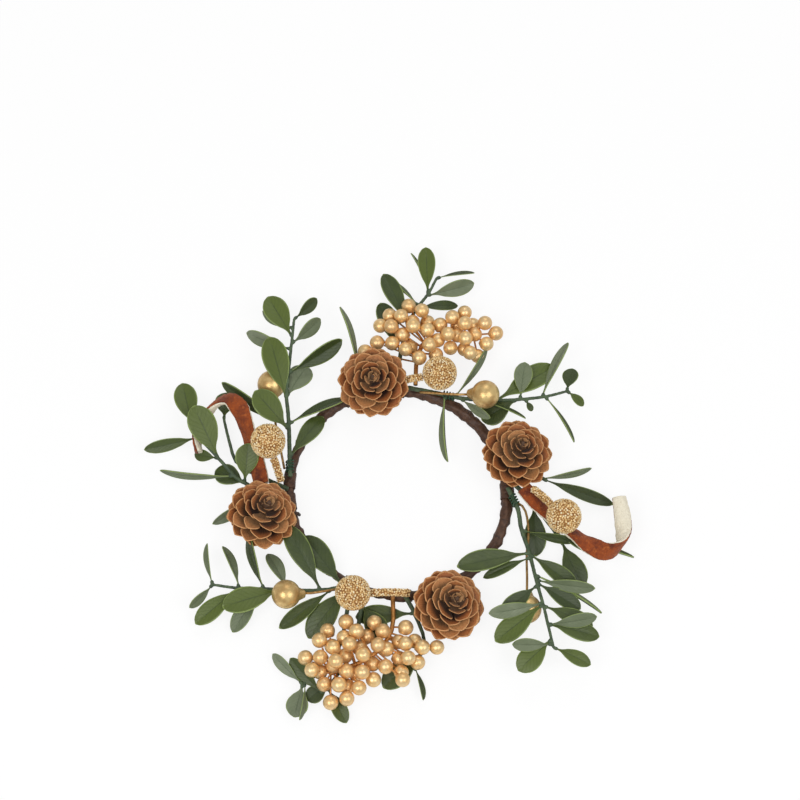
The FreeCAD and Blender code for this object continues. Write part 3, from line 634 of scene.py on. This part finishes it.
def basis(x, y, z, origin):
    """Matrix that takes a template's axes to three vectors at a point."""
    matrix = Matrix.Identity(4)
    for column, vector in enumerate((x, y, z, origin)):
        for row in range(3):
            matrix[row][column] = vector[row]
    return matrix


def blade(name, knots, grid, start, thickness, bow, cup, groove, curl):
    """Plate one unit long and wide, shaped from a grid; its underside has finish 1."""
    columns, rows = grid
    obj = added(bpy.ops.mesh.primitive_grid_add, name, x_subdivisions=columns,
                y_subdivisions=rows, size=1, location=(0.5, 0, 0))
    edit(True)
    near = 0.3 / max(columns, rows)
    if start:
        bpy.ops.mesh.select_all(action="SELECT")
        stretch((1 - start, 1, 1), (1, 0, 0))
    for row in range(rows + 1):
        across = row / rows - 0.5
        pick(lambda co: abs(co.y - across) < near)
        furrow = groove * max(0.0, 1 - abs(2 * across) * rows / groove_rows)
        lift(cup * (2 * across) ** 2 - furrow)
    for column in range(columns + 1):
        along = start + (1 - start) * column / columns
        pick(lambda co: abs(co.x - along) < near)
        half = smooth_value(knots, along)
        stretch((1, half, max(thinnest_share, half)), (along, 0, 0))
        lift(bow * 4 * along * (1 - along) + curl * max(0.0, along - curl_start) ** 2)
    edit(False)
    finish_with(obj, "SOLIDIFY", thickness=thickness, offset=0, use_even_offset=False)
    bpy.ops.object.shade_smooth_by_angle(angle=math.radians(60))
    for face in obj.data.polygons:
        face.material_index = int(face.normal.z < -0.2)
    return obj


def leaf_frame(points):
    """Foot, axes, length and width of a leaf, read from its solid's corners."""
    centre = points.mean(0)
    far = points[np.argmax(((points - centre) ** 2).sum(1))]
    foot = points[np.argmax(((points - far) ** 2).sum(1))]
    axis = (far - foot) / np.linalg.norm(far - foot)
    along = (points - foot) @ axis
    length = along.max()
    along = along / length
    flat = points - foot - np.outer((points - foot) @ axis, axis)
    flat = flat - flat.mean(0)
    across = np.linalg.svd(flat, full_matrices=False)[2][0]
    side = np.abs(flat @ across)
    if (along * side).sum() < 0.5 * side.sum():
        foot, far, axis, along = far, foot, -axis, 1 - along
    foot = points[along < end_shares[0]].mean(0)
    far = points[along > end_shares[1]].mean(0)
    axis = (far - foot) / np.linalg.norm(far - foot)
    across = across - axis * (across @ axis)
    across = across / np.linalg.norm(across)
    normal = np.cross(axis, across)
    height = flat @ normal
    ends = (along < tip_shares[0]) | (along > tip_shares[1])
    body = (along > body_shares[0]) & (along < body_shares[1])
    if height[body].mean() < height[ends].mean():
        normal = -normal
        across = -across
    width = (flat @ across).max() - (flat @ across).min()
    return foot, axis, across, normal, length, width


# Pieces

def wind_tape(sizes, material):
    """The taped hoop: laps of crepe tape wound at a slant over a wire hoop.

    The winding goes round two circles at once, so its relief is put on the corners."""
    obj = added(bpy.ops.mesh.primitive_torus_add, "tape_wound", major_segments=900,
                minor_segments=36, major_radius=sizes.ring_radius, minor_radius=sizes.tape_radius)
    places = corners(obj.data)
    turn = np.arctan2(places[:, 1], places[:, 0])
    reach = np.hypot(places[:, 0], places[:, 1]) - sizes.ring_radius
    tilt = np.arctan2(places[:, 2], reach)
    radius = sizes.tape_radius * (1 + sizes.thick_share * np.cos(turn - thick_heading))
    drift = sum(laps * np.sin(turn * waves + start) for laps, waves, start in lap_drifts)
    lap = (turn / (2 * math.pi) * sizes.laps + lap_slant * np.cos(tilt) + drift
           + lap_bend * np.sin(tilt * 2 + turn * 9)) % 1.0
    mark(obj.data, "lap", lap)
    step = lap_edge * (1 - lap) - seam_depth * np.exp(-(lap / seam_share) ** 2)
    # Creases from waves that cross, whose numbers round the hoop share no factor
    knobs = (np.sin(turn * 41 + 3 * np.cos(tilt)) * np.sin(turn * 23 + 2 * tilt)
             + 0.7 * np.sin(turn * 67 + tilt * 3) * np.cos(tilt * 2 + turn * 7))
    thick = radius + step + crease_height * knobs
    oval = 1 + oval_share * np.cos(2 * (turn - oval_heading))
    ring = sizes.ring_radius * oval + thick * np.cos(tilt)
    height = radius - press_depth + thick * np.sin(tilt)
    put_corners(obj.data, np.stack((ring * np.cos(turn), ring * np.sin(turn), height), 1))
    bpy.ops.object.shade_smooth()
    give(obj, material)
    settle(obj, "tape", "tape_wrap")


def bind_bands(material):
    """Short bands of the same tape, creased where they are pulled tight."""
    obj = merged_copy("tape_bands", "tape_bands_bound")
    weather(obj, "band_creases", *band_weather)
    places = corners(obj.data)
    turn = np.arctan2(places[:, 1], places[:, 0])
    laps = turn / (2 * math.pi) * band_laps + places[:, 2] / band_lap_height
    mark(obj.data, "lap", laps % 1.0)
    give(obj, material)
    settle(obj, "tape", "tape_bands")


def cone_stance(node, heading, lean):
    """Foot and axis of a cone: the axis from its heading and lean, the foot from the middle of its
    volume and its lowest plane.
    """
    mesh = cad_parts[node].data
    a, b, c = triangles(mesh)
    volumes = np.einsum("ij,ij->i", a, np.cross(b, c))
    centre = ((a + b + c) * volumes[:, None]).sum(0) / (4 * volumes.sum())
    turn, tip = math.radians(heading), math.radians(lean)
    axis = np.array([math.cos(turn) * math.sin(tip), math.sin(turn) * math.sin(tip), math.cos(tip)])
    foot = centre - axis * (centre @ axis - (corners(mesh) @ axis).min())
    return Vector(foot), Vector(axis)


def cone_scales(templates, sizes, spread, dice):
    """Scales of one cone in golden-angle order, from the foot to the bud."""
    items = []
    number = 0
    total = sum(row[3] for row in scale_turns)
    radii, rims, roots = ([(i, row[k]) for i, row in enumerate(scale_turns)] for k in range(3))
    for turn, row in enumerate(scale_turns):
        for place in range(row[3]):
            stage = min(turn + place / row[3], len(scale_turns) - 1)
            radius = smooth_value(radii, stage) * sizes.cone_radius
            rim = smooth_value(rims, stage) * sizes.cone_height
            root = smooth_value(roots, stage) * sizes.cone_height
            share = number / total
            core = sizes.cone_radius * (root_share - root_taper_share * share)
            angle = golden_angle * number + dice.uniform(-angle_play, angle_play)
            out = Vector((math.cos(angle), math.sin(angle), 0))
            side = Vector((-math.sin(angle), math.cos(angle), 0))
            start = out * core + Vector((0, 0, root + (rim - root) * core / radius))
            end = out * radius * (1 + dice.uniform(*reach_play)) + Vector((0, 0, rim))
            axis = end - start
            length = axis.length
            axis = axis.normalized()
            normal = axis.cross(side).normalized()
            if normal.z < 0:
                normal = -normal
            normal = (normal + side * dice.uniform(-twist_play, twist_play)).normalized()
            side = normal.cross(axis)
            width = min(scale_width_share * sizes.cone_radius, 2 * math.pi * radius / row[3])
            width = spread * min(width, length * scale_stoutness) * dice.uniform(*width_play)
            matrix = basis(axis * length, side * width, normal * length * scale_depth_share, start)
            pale = max(0.0, share - bud_start_share) / (1 - bud_start_share)
            marks = {"tone": dice.random() ** 2, "pale": pale}
            items.append((templates[number % len(templates)], matrix, marks))
            number += 1
    return items


def cone_core(sizes):
    """Woody core and bud: a cone drawn in to a small spiral point."""
    top = core_height_share * sizes.cone_height
    obj = added(bpy.ops.mesh.primitive_cone_add, "cone_core", vertices=24,
                radius1=core_foot_share * sizes.cone_radius,
                radius2=core_top_share * sizes.cone_radius, depth=top, location=(0, 0, top / 2))
    edit(True)
    bpy.ops.mesh.select_all(action="SELECT")
    bpy.ops.mesh.subdivide(number_cuts=3)
    pick(lambda co: co.z > top - pick_slack)
    stretch((bud_pinch, bud_pinch, 1), (0, 0, top))
    lift(bud_rise_share * sizes.cone_height)
    edit(False)
    bpy.ops.object.shade_smooth()
    return obj


def grow_cones(sizes, material):
    """Scales and core of every cone, set on its solid's foot and axis."""
    flat, deep = (blade(name, scale_half_widths, *scale_blade, *bends)
                  for name, bends in scale_bends.items())
    core = cone_core(sizes)
    for name, (heading, lean, turn, spread) in cone_stances.items():
        node = "cone_" + name
        foot, axis = cone_stance(node, heading, lean)
        dice = random.Random(node)
        items = cone_scales((flat, deep), sizes, spread, dice)
        items.append((core, Matrix.Identity(4), {"tone": 0.2, "pale": 0.0}))
        obj = stamped(node + "_scales", items)
        spin = Matrix.Rotation(math.radians(turn), 4, "Z")
        obj.data.transform(Matrix.Translation(foot) @ turn_to(axis) @ spin)
        give(obj, material)
        settle(obj, "cone", node)
    drop(flat, deep, core)


def scatter(obj, spacing, dice):
    """Points spread at random over a skin, none nearer to another than the spacing."""
    a, b, c = triangles(obj.data)
    normals = np.cross(b - a, c - a)
    areas = np.linalg.norm(normals, axis=1)
    normals = normals / areas[:, None]
    tries = int(tries_per_spot * areas.sum() / spacing ** 2)
    chosen = dice.choice(len(a), size=tries, p=areas / areas.sum())
    u, v = dice.random(tries), dice.random(tries)
    over = u + v > 1
    u[over], v[over] = 1 - u[over], 1 - v[over]
    points = a[chosen] + (b - a)[chosen] * u[:, None] + (c - a)[chosen] * v[:, None]
    kept = np.zeros((tries, 3))
    ways = np.zeros((tries, 3))
    count = 0
    for point, triangle in zip(points, chosen):
        if count == 0 or ((kept[:count] - point) ** 2).sum(1).min() > spacing ** 2:
            kept[count] = point
            ways[count] = normals[triangle]
            count += 1
    return kept[:count], ways[:count]


def bead_over(skin, node, bead, sizes, materials, seed):
    """Covers a skin with small beads and keeps it as the ground between them, darkened as painted
    shade in the gaps.
    """
    dice = np.random.default_rng(seed)
    points, ways = scatter(skin, sizes.grain * bead_spacing_share, dice)
    items = [(skin, Matrix.Identity(4), {"turned": 1, "tone": 0.0})]
    for point, way in zip(points, ways):
        out = Vector(way)
        side = out.orthogonal().normalized()
        side.rotate(Matrix.Rotation(dice.uniform(0, 2 * math.pi), 3, out))
        size = sizes.grain * dice.uniform(*bead_half_shares)
        long = size * dice.uniform(*bead_stretches)
        matrix = basis(side * long, out.cross(side) * size, out * size, point)
        items.append((bead, matrix, {"turned": 0, "tone": dice.random()}))
    obj = stamped(node + "_skin", items)
    give(obj, *materials)
    settle(obj, "gold_beads", node)


def bead_balls(sizes, materials):
    """Balls and stems with a skin of fine gold beads."""
    sphere = bpy.ops.mesh.primitive_uv_sphere_add
    bead = added(sphere, "bead", segments=8, ring_count=6, radius=1)
    depth = sizes.grain / 2
    for number, name in enumerate(("top", "left", "bottom", "right")):
        low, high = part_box("beaded_ball_" + name)
        ball = added(sphere, "ball_ground", segments=48, ring_count=32,
                     radius=(high.x - low.x) / 2 - depth, location=(low + high) / 2)
        bead_over(ball, "beaded_ball_" + name, bead, sizes, materials, number)
        stem = merged_copy("beaded_stem_" + name, "stem_ground")
        finish_with(stem, "DISPLACE", strength=-depth, mid_level=0)
        bead_over(stem, "beaded_stem_" + name, bead, sizes, materials, 10 + number)
        drop(ball, stem)
    drop(bead)


def turn_balls(gold, wire):
    """Smooth balls drawn out to a short neck, and the wires they hang on."""
    for name in ("upper_left", "upper_right", "lower_left", "lower_right"):
        node = "smooth_ball_" + name
        places = solid_points(node)[0]
        start = places[np.argmax(np.linalg.norm(places - places.mean(0), axis=1))]
        wires = solid_points("ball_wire_" + name)[0]
        neck = wires[np.argmin(np.linalg.norm(wires - start, axis=1))]
        radius = smooth_ball_radius
        far = places[np.argmax(np.linalg.norm(places - neck, axis=1))]
        centre = Vector(far + (neck - far) / np.linalg.norm(neck - far) * radius)
        way = (Vector(neck) - centre).normalized()
        ball = added(bpy.ops.mesh.primitive_uv_sphere_add, node + "_turned", segments=64,
                     ring_count=40, radius=radius)
        edit(True)
        for start, draw, pinch in neck_steps:
            pick(lambda co: co.z > radius * start)
            lift(draw * radius)
            stretch((pinch, pinch, 1), (0, 0, radius))
        edit(False)
        bpy.ops.object.shade_smooth()
        ball.data.transform(Matrix.Translation(centre) @ turn_to(way))
        mark(ball.data, "tone", np.full(len(ball.data.vertices), 0.8))
        give(ball, gold)
        settle(ball, "satin_gold", node)
        lay("ball_wire_" + name, "ball_wire_%s_bent" % name, wire, "gold_wire")


def berry(sizes):
    """Berry with a dimple in its crown and a small collar at its wire."""
    radius = sizes.berry_radius
    obj = added(bpy.ops.mesh.primitive_uv_sphere_add, "berry", segments=24, ring_count=16,
                radius=radius)
    edit(True)
    pick(lambda co: co.z > crown_start * radius)
    lift(-dimple_share * radius)
    pick(lambda co: co.z < -collar_start * radius)
    lift(-collar_draw * radius)
    stretch((collar_pinch, collar_pinch, 1), (0, 0, -radius))
    edit(False)
    bpy.ops.object.shade_smooth()
    return obj


def string_berries(sizes, gold, foil):
    """Berries of both clusters, fanned out over the middle of each, and their stems."""
    template = berry(sizes)
    for name in ("top", "bottom"):
        dice = random.Random("berries_" + name)
        groups = solid_points("berries_" + name)
        centres = [(g.min(0) + g.max(0)) / 2 for g in groups]
        middle = np.mean(centres, axis=0)
        items = []
        for centre in centres:
            away = Vector(centre - middle)
            away.z = abs(away.z) * fan_share + fan_rise
            spin = Matrix.Rotation(dice.uniform(0, berry_spin), 4, "Z")
            size = Matrix.Scale(dice.uniform(*berry_sizes), 4)
            matrix = Matrix.Translation(centre) @ turn_to(away.normalized()) @ spin @ size
            items.append((template, matrix, {"tone": dice.uniform(*berry_tones)}))
        obj = stamped("berries_%s_strung" % name, items)
        give(obj, gold)
        settle(obj, "berry", "berries_" + name)
        lay("berry_stems_" + name, "berry_stems_%s_wrapped" % name, foil, "berry_wire", 50.0)
    drop(template)


def curl_peels(rind, pith):
    """Dried strips: the flat solids are rounded off, buckled and pitted."""
    for side in ("left", "right"):
        for layer, material, wear in (("rind", rind, rind_weather), ("pith", pith, pith_weather)):
            node = "peel_%s_%s" % (layer, side)
            obj = merged_copy(node, node + "_dried")
            weather(obj, node + "_buckles", *wear)
            give(obj, material)
            settle(obj, layer, node)


def leaf_out(top, under, twig):
    """Leaves and twigs of every spray, each leaf laid on its solid's axes."""
    flat, cupped, curled = (blade(name, leaf_half_widths, *leaf_blade, *bends)
                            for name, bends in leaf_bends.items())
    templates = (flat, cupped, flat, curled)
    knot = added(bpy.ops.mesh.primitive_uv_sphere_add, "knot", segments=12, ring_count=8, radius=1)
    for name, (turned, painted_lit) in sprays.items():
        node = "leaves_" + name
        dice = random.Random(node)
        knots = []
        items = []
        for number, points in enumerate(solid_points(node)):
            foot, axis, across, normal, length, width = leaf_frame(points)
            matrix = basis(axis * length, across * width, normal * length, foot)
            # Leaves that catch the light get lighter tones: painted light
            tone = dice.uniform(*(painted_light_tones if number in painted_lit else plain_tones))
            marks = {"tone": tone, "turned": int(number in turned)}
            items.append((dice.choice(templates), matrix, marks))
            knot_matrix = basis(axis * (knot_stretch * knot_radius), across * knot_radius,
                                normal * knot_radius, foot)
            knots.append((knot, knot_matrix, {}))
        obj = stamped(node + "_grown", items)
        give(obj, top, under)
        settle(obj, "leaf", node)
        stem = merged_copy("stem_" + name, "stem_solid")
        knots.append((stem, Matrix.Identity(4), {}))
        bark = stamped("stem_%s_bark" % name, knots)
        weather(bark, name + "_bark", *bark_weather)
        give(bark, twig)
        settle(bark, "twig", "stem_" + name)
        drop(stem)
    drop(flat, cupped, curled, knot)


def set_stage(look):
    """White floor, soft lamps and the camera over the front of the ring."""
    scene = bpy.context.scene
    scene.view_settings.view_transform = "Standard"
    floor = added(bpy.ops.mesh.primitive_plane_add, "floor", size=8, location=(0, 0, -floor_drop))
    grey = (floor_grey, floor_grey, floor_grey, 1)
    paint = Paint("white_floor", Roughness=0.9, Base_Color=grey)
    glow = paint.node("ShaderNodeEmission", {}, {"Color": (1, 1, 1), "Strength": floor_white})
    seen = paint.node("ShaderNodeLightPath") * look.floor_glow
    blend = paint.node("ShaderNodeMixShader", {}, {
        0: seen, 1: Value(paint, paint.shader.outputs[0]), 2: glow})
    surface = paint.tree.nodes["Material Output"].inputs["Surface"]
    paint.tree.links.new(blend.socket, surface)
    give(floor, paint.material)
    world = bpy.data.worlds.new("studio")
    world.use_nodes = True
    tree = world.node_tree
    sky = tree.nodes["Background"]
    sky.inputs["Color"].default_value = (1, 1, 1, 1)
    sky.inputs["Strength"].default_value = look.sky
    white = tree.nodes.new("ShaderNodeBackground")
    path = tree.nodes.new("ShaderNodeLightPath")
    either = tree.nodes.new("ShaderNodeMixShader")
    sources = (path.outputs["Is Camera Ray"], sky.outputs[0], white.outputs[0])
    for source, socket in zip(sources, either.inputs):
        tree.links.new(source, socket)
    tree.links.new(either.outputs[0], tree.nodes["World Output"].inputs["Surface"])
    scene.world = world
    for name, (place, size, setting, share) in lamps.items():
        lamp = bpy.data.lights.new(name, "AREA")
        lamp.size = size
        lamp.energy = getattr(look, setting) * share
        obj = placed(name, lamp)
        obj.location = place
        obj.rotation_euler = (-Vector(place)).to_track_quat("-Z", "Y").to_euler()
    lens = bpy.data.cameras.new("camera")
    lens.lens = 108
    lens.sensor_width = 36
    lens.shift_x = 0.0022
    lens.shift_y = 0.1144
    lens.clip_end = 20
    camera = placed("camera", lens)
    camera.location = (0, -camera_distance * math.cos(camera_rise),
                       aim_height + camera_distance * math.sin(camera_rise))
    camera.rotation_euler = (math.radians(90) - camera_rise, 0, 0)
    scene.camera = camera


# Add-on

def colour(name, description, red, green, blue):
    """Setting for a colour, from a screen colour of 0 to 255."""
    return FloatVectorProperty(
        name=name, description=description, subtype="COLOR", size=3, min=0, max=1,
        default=linear(red, green, blue))


def length(name, description, millimetres):
    """Setting for a length, from millimetres."""
    return FloatProperty(
        name=name, description=description, default=millimetres * MM, unit="LENGTH",
        subtype="DISTANCE", precision=4)


class RingSizes(bpy.types.PropertyGroup):
    """Sizes of the visible pieces"""
    ring_radius: length("Ring radius", "Middle line of the hoop", 54.5)
    tape_radius: length("Tape radius", "Radius of the taped hoop", 2.3)
    thick_share: FloatProperty(
        name="Thick share", description="How much thicker the tape is on one side",
        default=0.16, subtype="FACTOR")
    laps: IntProperty(name="Laps", description="Laps of tape round the hoop", default=38)
    cone_radius: length("Cone radius", "Widest radius of a cone", 18)
    cone_height: length("Cone height", "Height of a cone", 24)
    grain: length("Grain", "Width of a small gold bead", 1.05)
    berry_radius: length("Berry radius", "Radius of a berry", 3.8)


class RingColours(bpy.types.PropertyGroup):
    """Colours of the finishes"""
    tape: colour("Tape", "Brown crepe tape", 72, 44, 28)
    tape_light: colour("Tape light", "Worn places on the tape", 98, 66, 44)
    tape_seam: colour("Tape seam", "Seams between laps", 38, 22, 16)
    cone: colour("Cone", "Scales of the cones", 182, 106, 50)
    # Painted shade deep between the scales, also the colour of their dark streaks
    cone_inside: colour("Cone inside", "Depths between the scales", 44, 18, 7)
    cone_rim: colour("Cone rim", "Rims of the scales", 232, 174, 114)
    cone_bud: colour("Cone bud", "Bud in the middle of a cone", 205, 160, 108)
    gold: colour("Gold", "Satin gold paint", 212, 172, 110)
    gold_light: colour("Gold light", "Bright places in the gold", 250, 218, 150)
    gold_dark: colour("Gold dark", "Dull places in the gold", 160, 118, 66)
    bead: colour("Bead", "Gold of the small beads", 255, 222, 160)
    bead_light: colour("Bead light", "Palest beads", 255, 244, 210)
    # Ground showing between the beads, darkened as painted shade
    bead_gap_shade: colour("Bead gap", "Gaps between gold grains", 186, 134, 74)
    berry: colour("Berry", "Pale gold of the berries", 255, 214, 148)
    berry_light: colour("Berry light", "Bright places on the berries", 255, 226, 172)
    berry_dark: colour("Berry dark", "Coppery places on the berries", 226, 160, 96)
    foil: colour("Foil", "Foil on the berry stems", 196, 140, 76)
    rind: colour("Rind", "Orange rind of the peel", 160, 74, 20)
    rind_dark: colour("Rind dark", "Dark places on the rind", 98, 34, 8)
    pith: colour("Pith", "White pith of the peel", 252, 244, 222)
    leaf: colour("Leaf", "Upper side of the leaves", 90, 106, 36)
    leaf_dark: colour("Leaf dark", "Shaded green of the leaves", 58, 72, 34)
    leaf_rim: colour("Leaf rim", "Rims of the leaves", 152, 172, 96)
    leaf_under: colour("Leaf underside", "Underside of the leaves", 152, 160, 134)
    twig: colour("Twig", "Bark of the twigs", 90, 108, 76)
    tie: colour("Tie", "Green binding wire", 44, 84, 56)


class RingLight(bpy.types.PropertyGroup):
    """Light and floor"""
    key: FloatProperty(name="Key lamp", description="Lamp from the left", default=6.0, unit="POWER")
    fill: FloatProperty(name="Fill lamps", description="Lamps from the right and back",
                        default=4.0, unit="POWER")
    sky: FloatProperty(name="Sky", description="Light from all sides", default=0.42)
    floor_glow: FloatProperty(
        name="Floor glow", description="Share of plain white seen on the floor",
        default=0.80, subtype="FACTOR")


class RingOperator:
    """What the operators share that dress the ring"""
    bl_options = {"REGISTER", "UNDO"}

    def execute(self, context):
        self.build(context.scene.ring_sizes, context.scene.ring_colours)
        return {"FINISHED"}


class AddTape(RingOperator, bpy.types.Operator):
    """Winds the tape round the hoop and binds the bands"""
    bl_idname = "candle_ring.add_tape"
    bl_label = "Taped hoop"

    def build(self, sizes, colours):
        material = tape_paint("brown_tape", colours.tape_seam, colours.tape, colours.tape_light)
        wind_tape(sizes, material)
        bind_bands(material)
        give(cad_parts["hoop_wire"], plain_paint("hoop_steel", steel, steel_bright))


class AddCones(RingOperator, bpy.types.Operator):
    """Grows the cones, scale by scale, on their wires"""
    bl_idname = "candle_ring.add_cones"
    bl_label = "Cones"

    def build(self, sizes, colours):
        material = scale_paint("cone_scales", colours.cone_inside, colours.cone,
                               colours.cone_rim, colours.cone_bud)
        grow_cones(sizes, material)
        wire = plain_paint("brown_wire", colours.tape_seam, colours.tape)
        lay("cone_wires", "cone_wires_bent", wire, "brown_wire")


class AddBeadedBalls(RingOperator, bpy.types.Operator):
    """Adds the balls and stems with a beaded gold skin"""
    bl_idname = "candle_ring.add_beaded_balls"
    bl_label = "Beaded balls"

    def build(self, sizes, colours):
        beads = bead_paint("gold_beads", colours.gold, colours.bead, colours.bead_light)
        # The ground between the beads: its dark colours stand in as painted shade
        ground = plain_paint("bead_ground_shade", bead_shadow, colours.bead_gap_shade)
        bead_balls(sizes, (beads, ground))


class AddSmoothBalls(RingOperator, bpy.types.Operator):
    """Adds the smooth gold balls and their wires"""
    bl_idname = "candle_ring.add_smooth_balls"
    bl_label = "Smooth balls"

    def build(self, sizes, colours):
        gold = gold_paint("satin_gold", colours.gold_dark, colours.gold, colours.gold_light,
                          roughness=0.30, grain=6 * MM)
        turn_balls(gold, plain_paint("gold_wire", colours.gold_dark, colours.gold))


class AddBerries(RingOperator, bpy.types.Operator):
    """Adds the berry clusters and the foil on their stems"""
    bl_idname = "candle_ring.add_berries"
    bl_label = "Berries"

    def build(self, sizes, colours):
        gold = gold_paint("berry_gold", colours.berry_dark, colours.berry, colours.berry_light,
                          roughness=0.34, grain=3 * MM)
        foil = plain_paint("berry_foil", colours.berry_dark, colours.foil)
        string_berries(sizes, gold, foil)


class AddPeels(RingOperator, bpy.types.Operator):
    """Adds the curls of dried peel"""
    bl_idname = "candle_ring.add_peels"
    bl_label = "Curled peel"

    def build(self, sizes, colours):
        rind = rind_paint("orange_rind", colours.rind_dark, colours.rind, rind_bright)
        pith = pith_paint("white_pith", colours.pith, pith_fibre, pith_stain)
        curl_peels(rind, pith)


class AddSprays(RingOperator, bpy.types.Operator):
    """Adds the leafy sprays and the green wire ties"""
    bl_idname = "candle_ring.add_sprays"
    bl_label = "Leafy sprays"

    def build(self, sizes, colours):
        top = leaf_paint("leaf_top", colours.leaf_dark, colours.leaf, colours.leaf_rim,
                         leaf_vein, roughness=0.42)
        under = leaf_paint("leaf_underside", under_dark, colours.leaf_under, colours.leaf_rim,
                           under_vein, roughness=0.55)
        leaf_out(top, under, plain_paint("twig_bark", twig_dark, colours.twig))
        tie = plain_paint("green_wire", tie_dark, colours.tie)
        lay("green_ties", "green_ties_wound", tie, "green_wire")


class AddStage(bpy.types.Operator):
    """Sets the floor, the lamps and the camera"""
    bl_idname = "candle_ring.add_stage"
    bl_label = "Stage"

    def execute(self, context):
        set_stage(context.scene.ring_light)
        return {"FINISHED"}


class RingPanel(bpy.types.Panel):
    """Lists the steps that dress the ring"""
    bl_idname = "VIEW3D_PT_candle_ring"
    bl_label = "Candle ring"
    bl_space_type = "VIEW_3D"
    bl_region_type = "UI"
    bl_category = "Candle ring"

    def draw(self, context):
        for step in steps:
            self.layout.operator(step.bl_idname)
        for key, kind in groups.items():
            box = self.layout.box()
            for setting in kind.__annotations__:
                box.prop(getattr(context.scene, key), setting)


steps = (AddStage, AddTape, AddCones, AddBeadedBalls, AddSmoothBalls, AddBerries, AddPeels,
         AddSprays)
groups = {"ring_sizes": RingSizes, "ring_colours": RingColours, "ring_light": RingLight}


def register():
    """Adds the settings, operators and panel."""
    for kind in (*groups.values(), *steps, RingPanel):
        bpy.utils.register_class(kind)
    for key, kind in groups.items():
        setattr(bpy.types.Scene, key, PointerProperty(type=kind))


def unregister():
    """Takes them away again."""
    for key in groups:
        delattr(bpy.types.Scene, key)
    for kind in (RingPanel, *reversed(steps), *groups.values()):
        bpy.utils.unregister_class(kind)


def main():
    """Runs every step."""
    register()
    for step in steps:
        family, action = step.bl_idname.split(".")
        getattr(getattr(bpy.ops, family), action)()


if __name__ == "__main__":
    main()
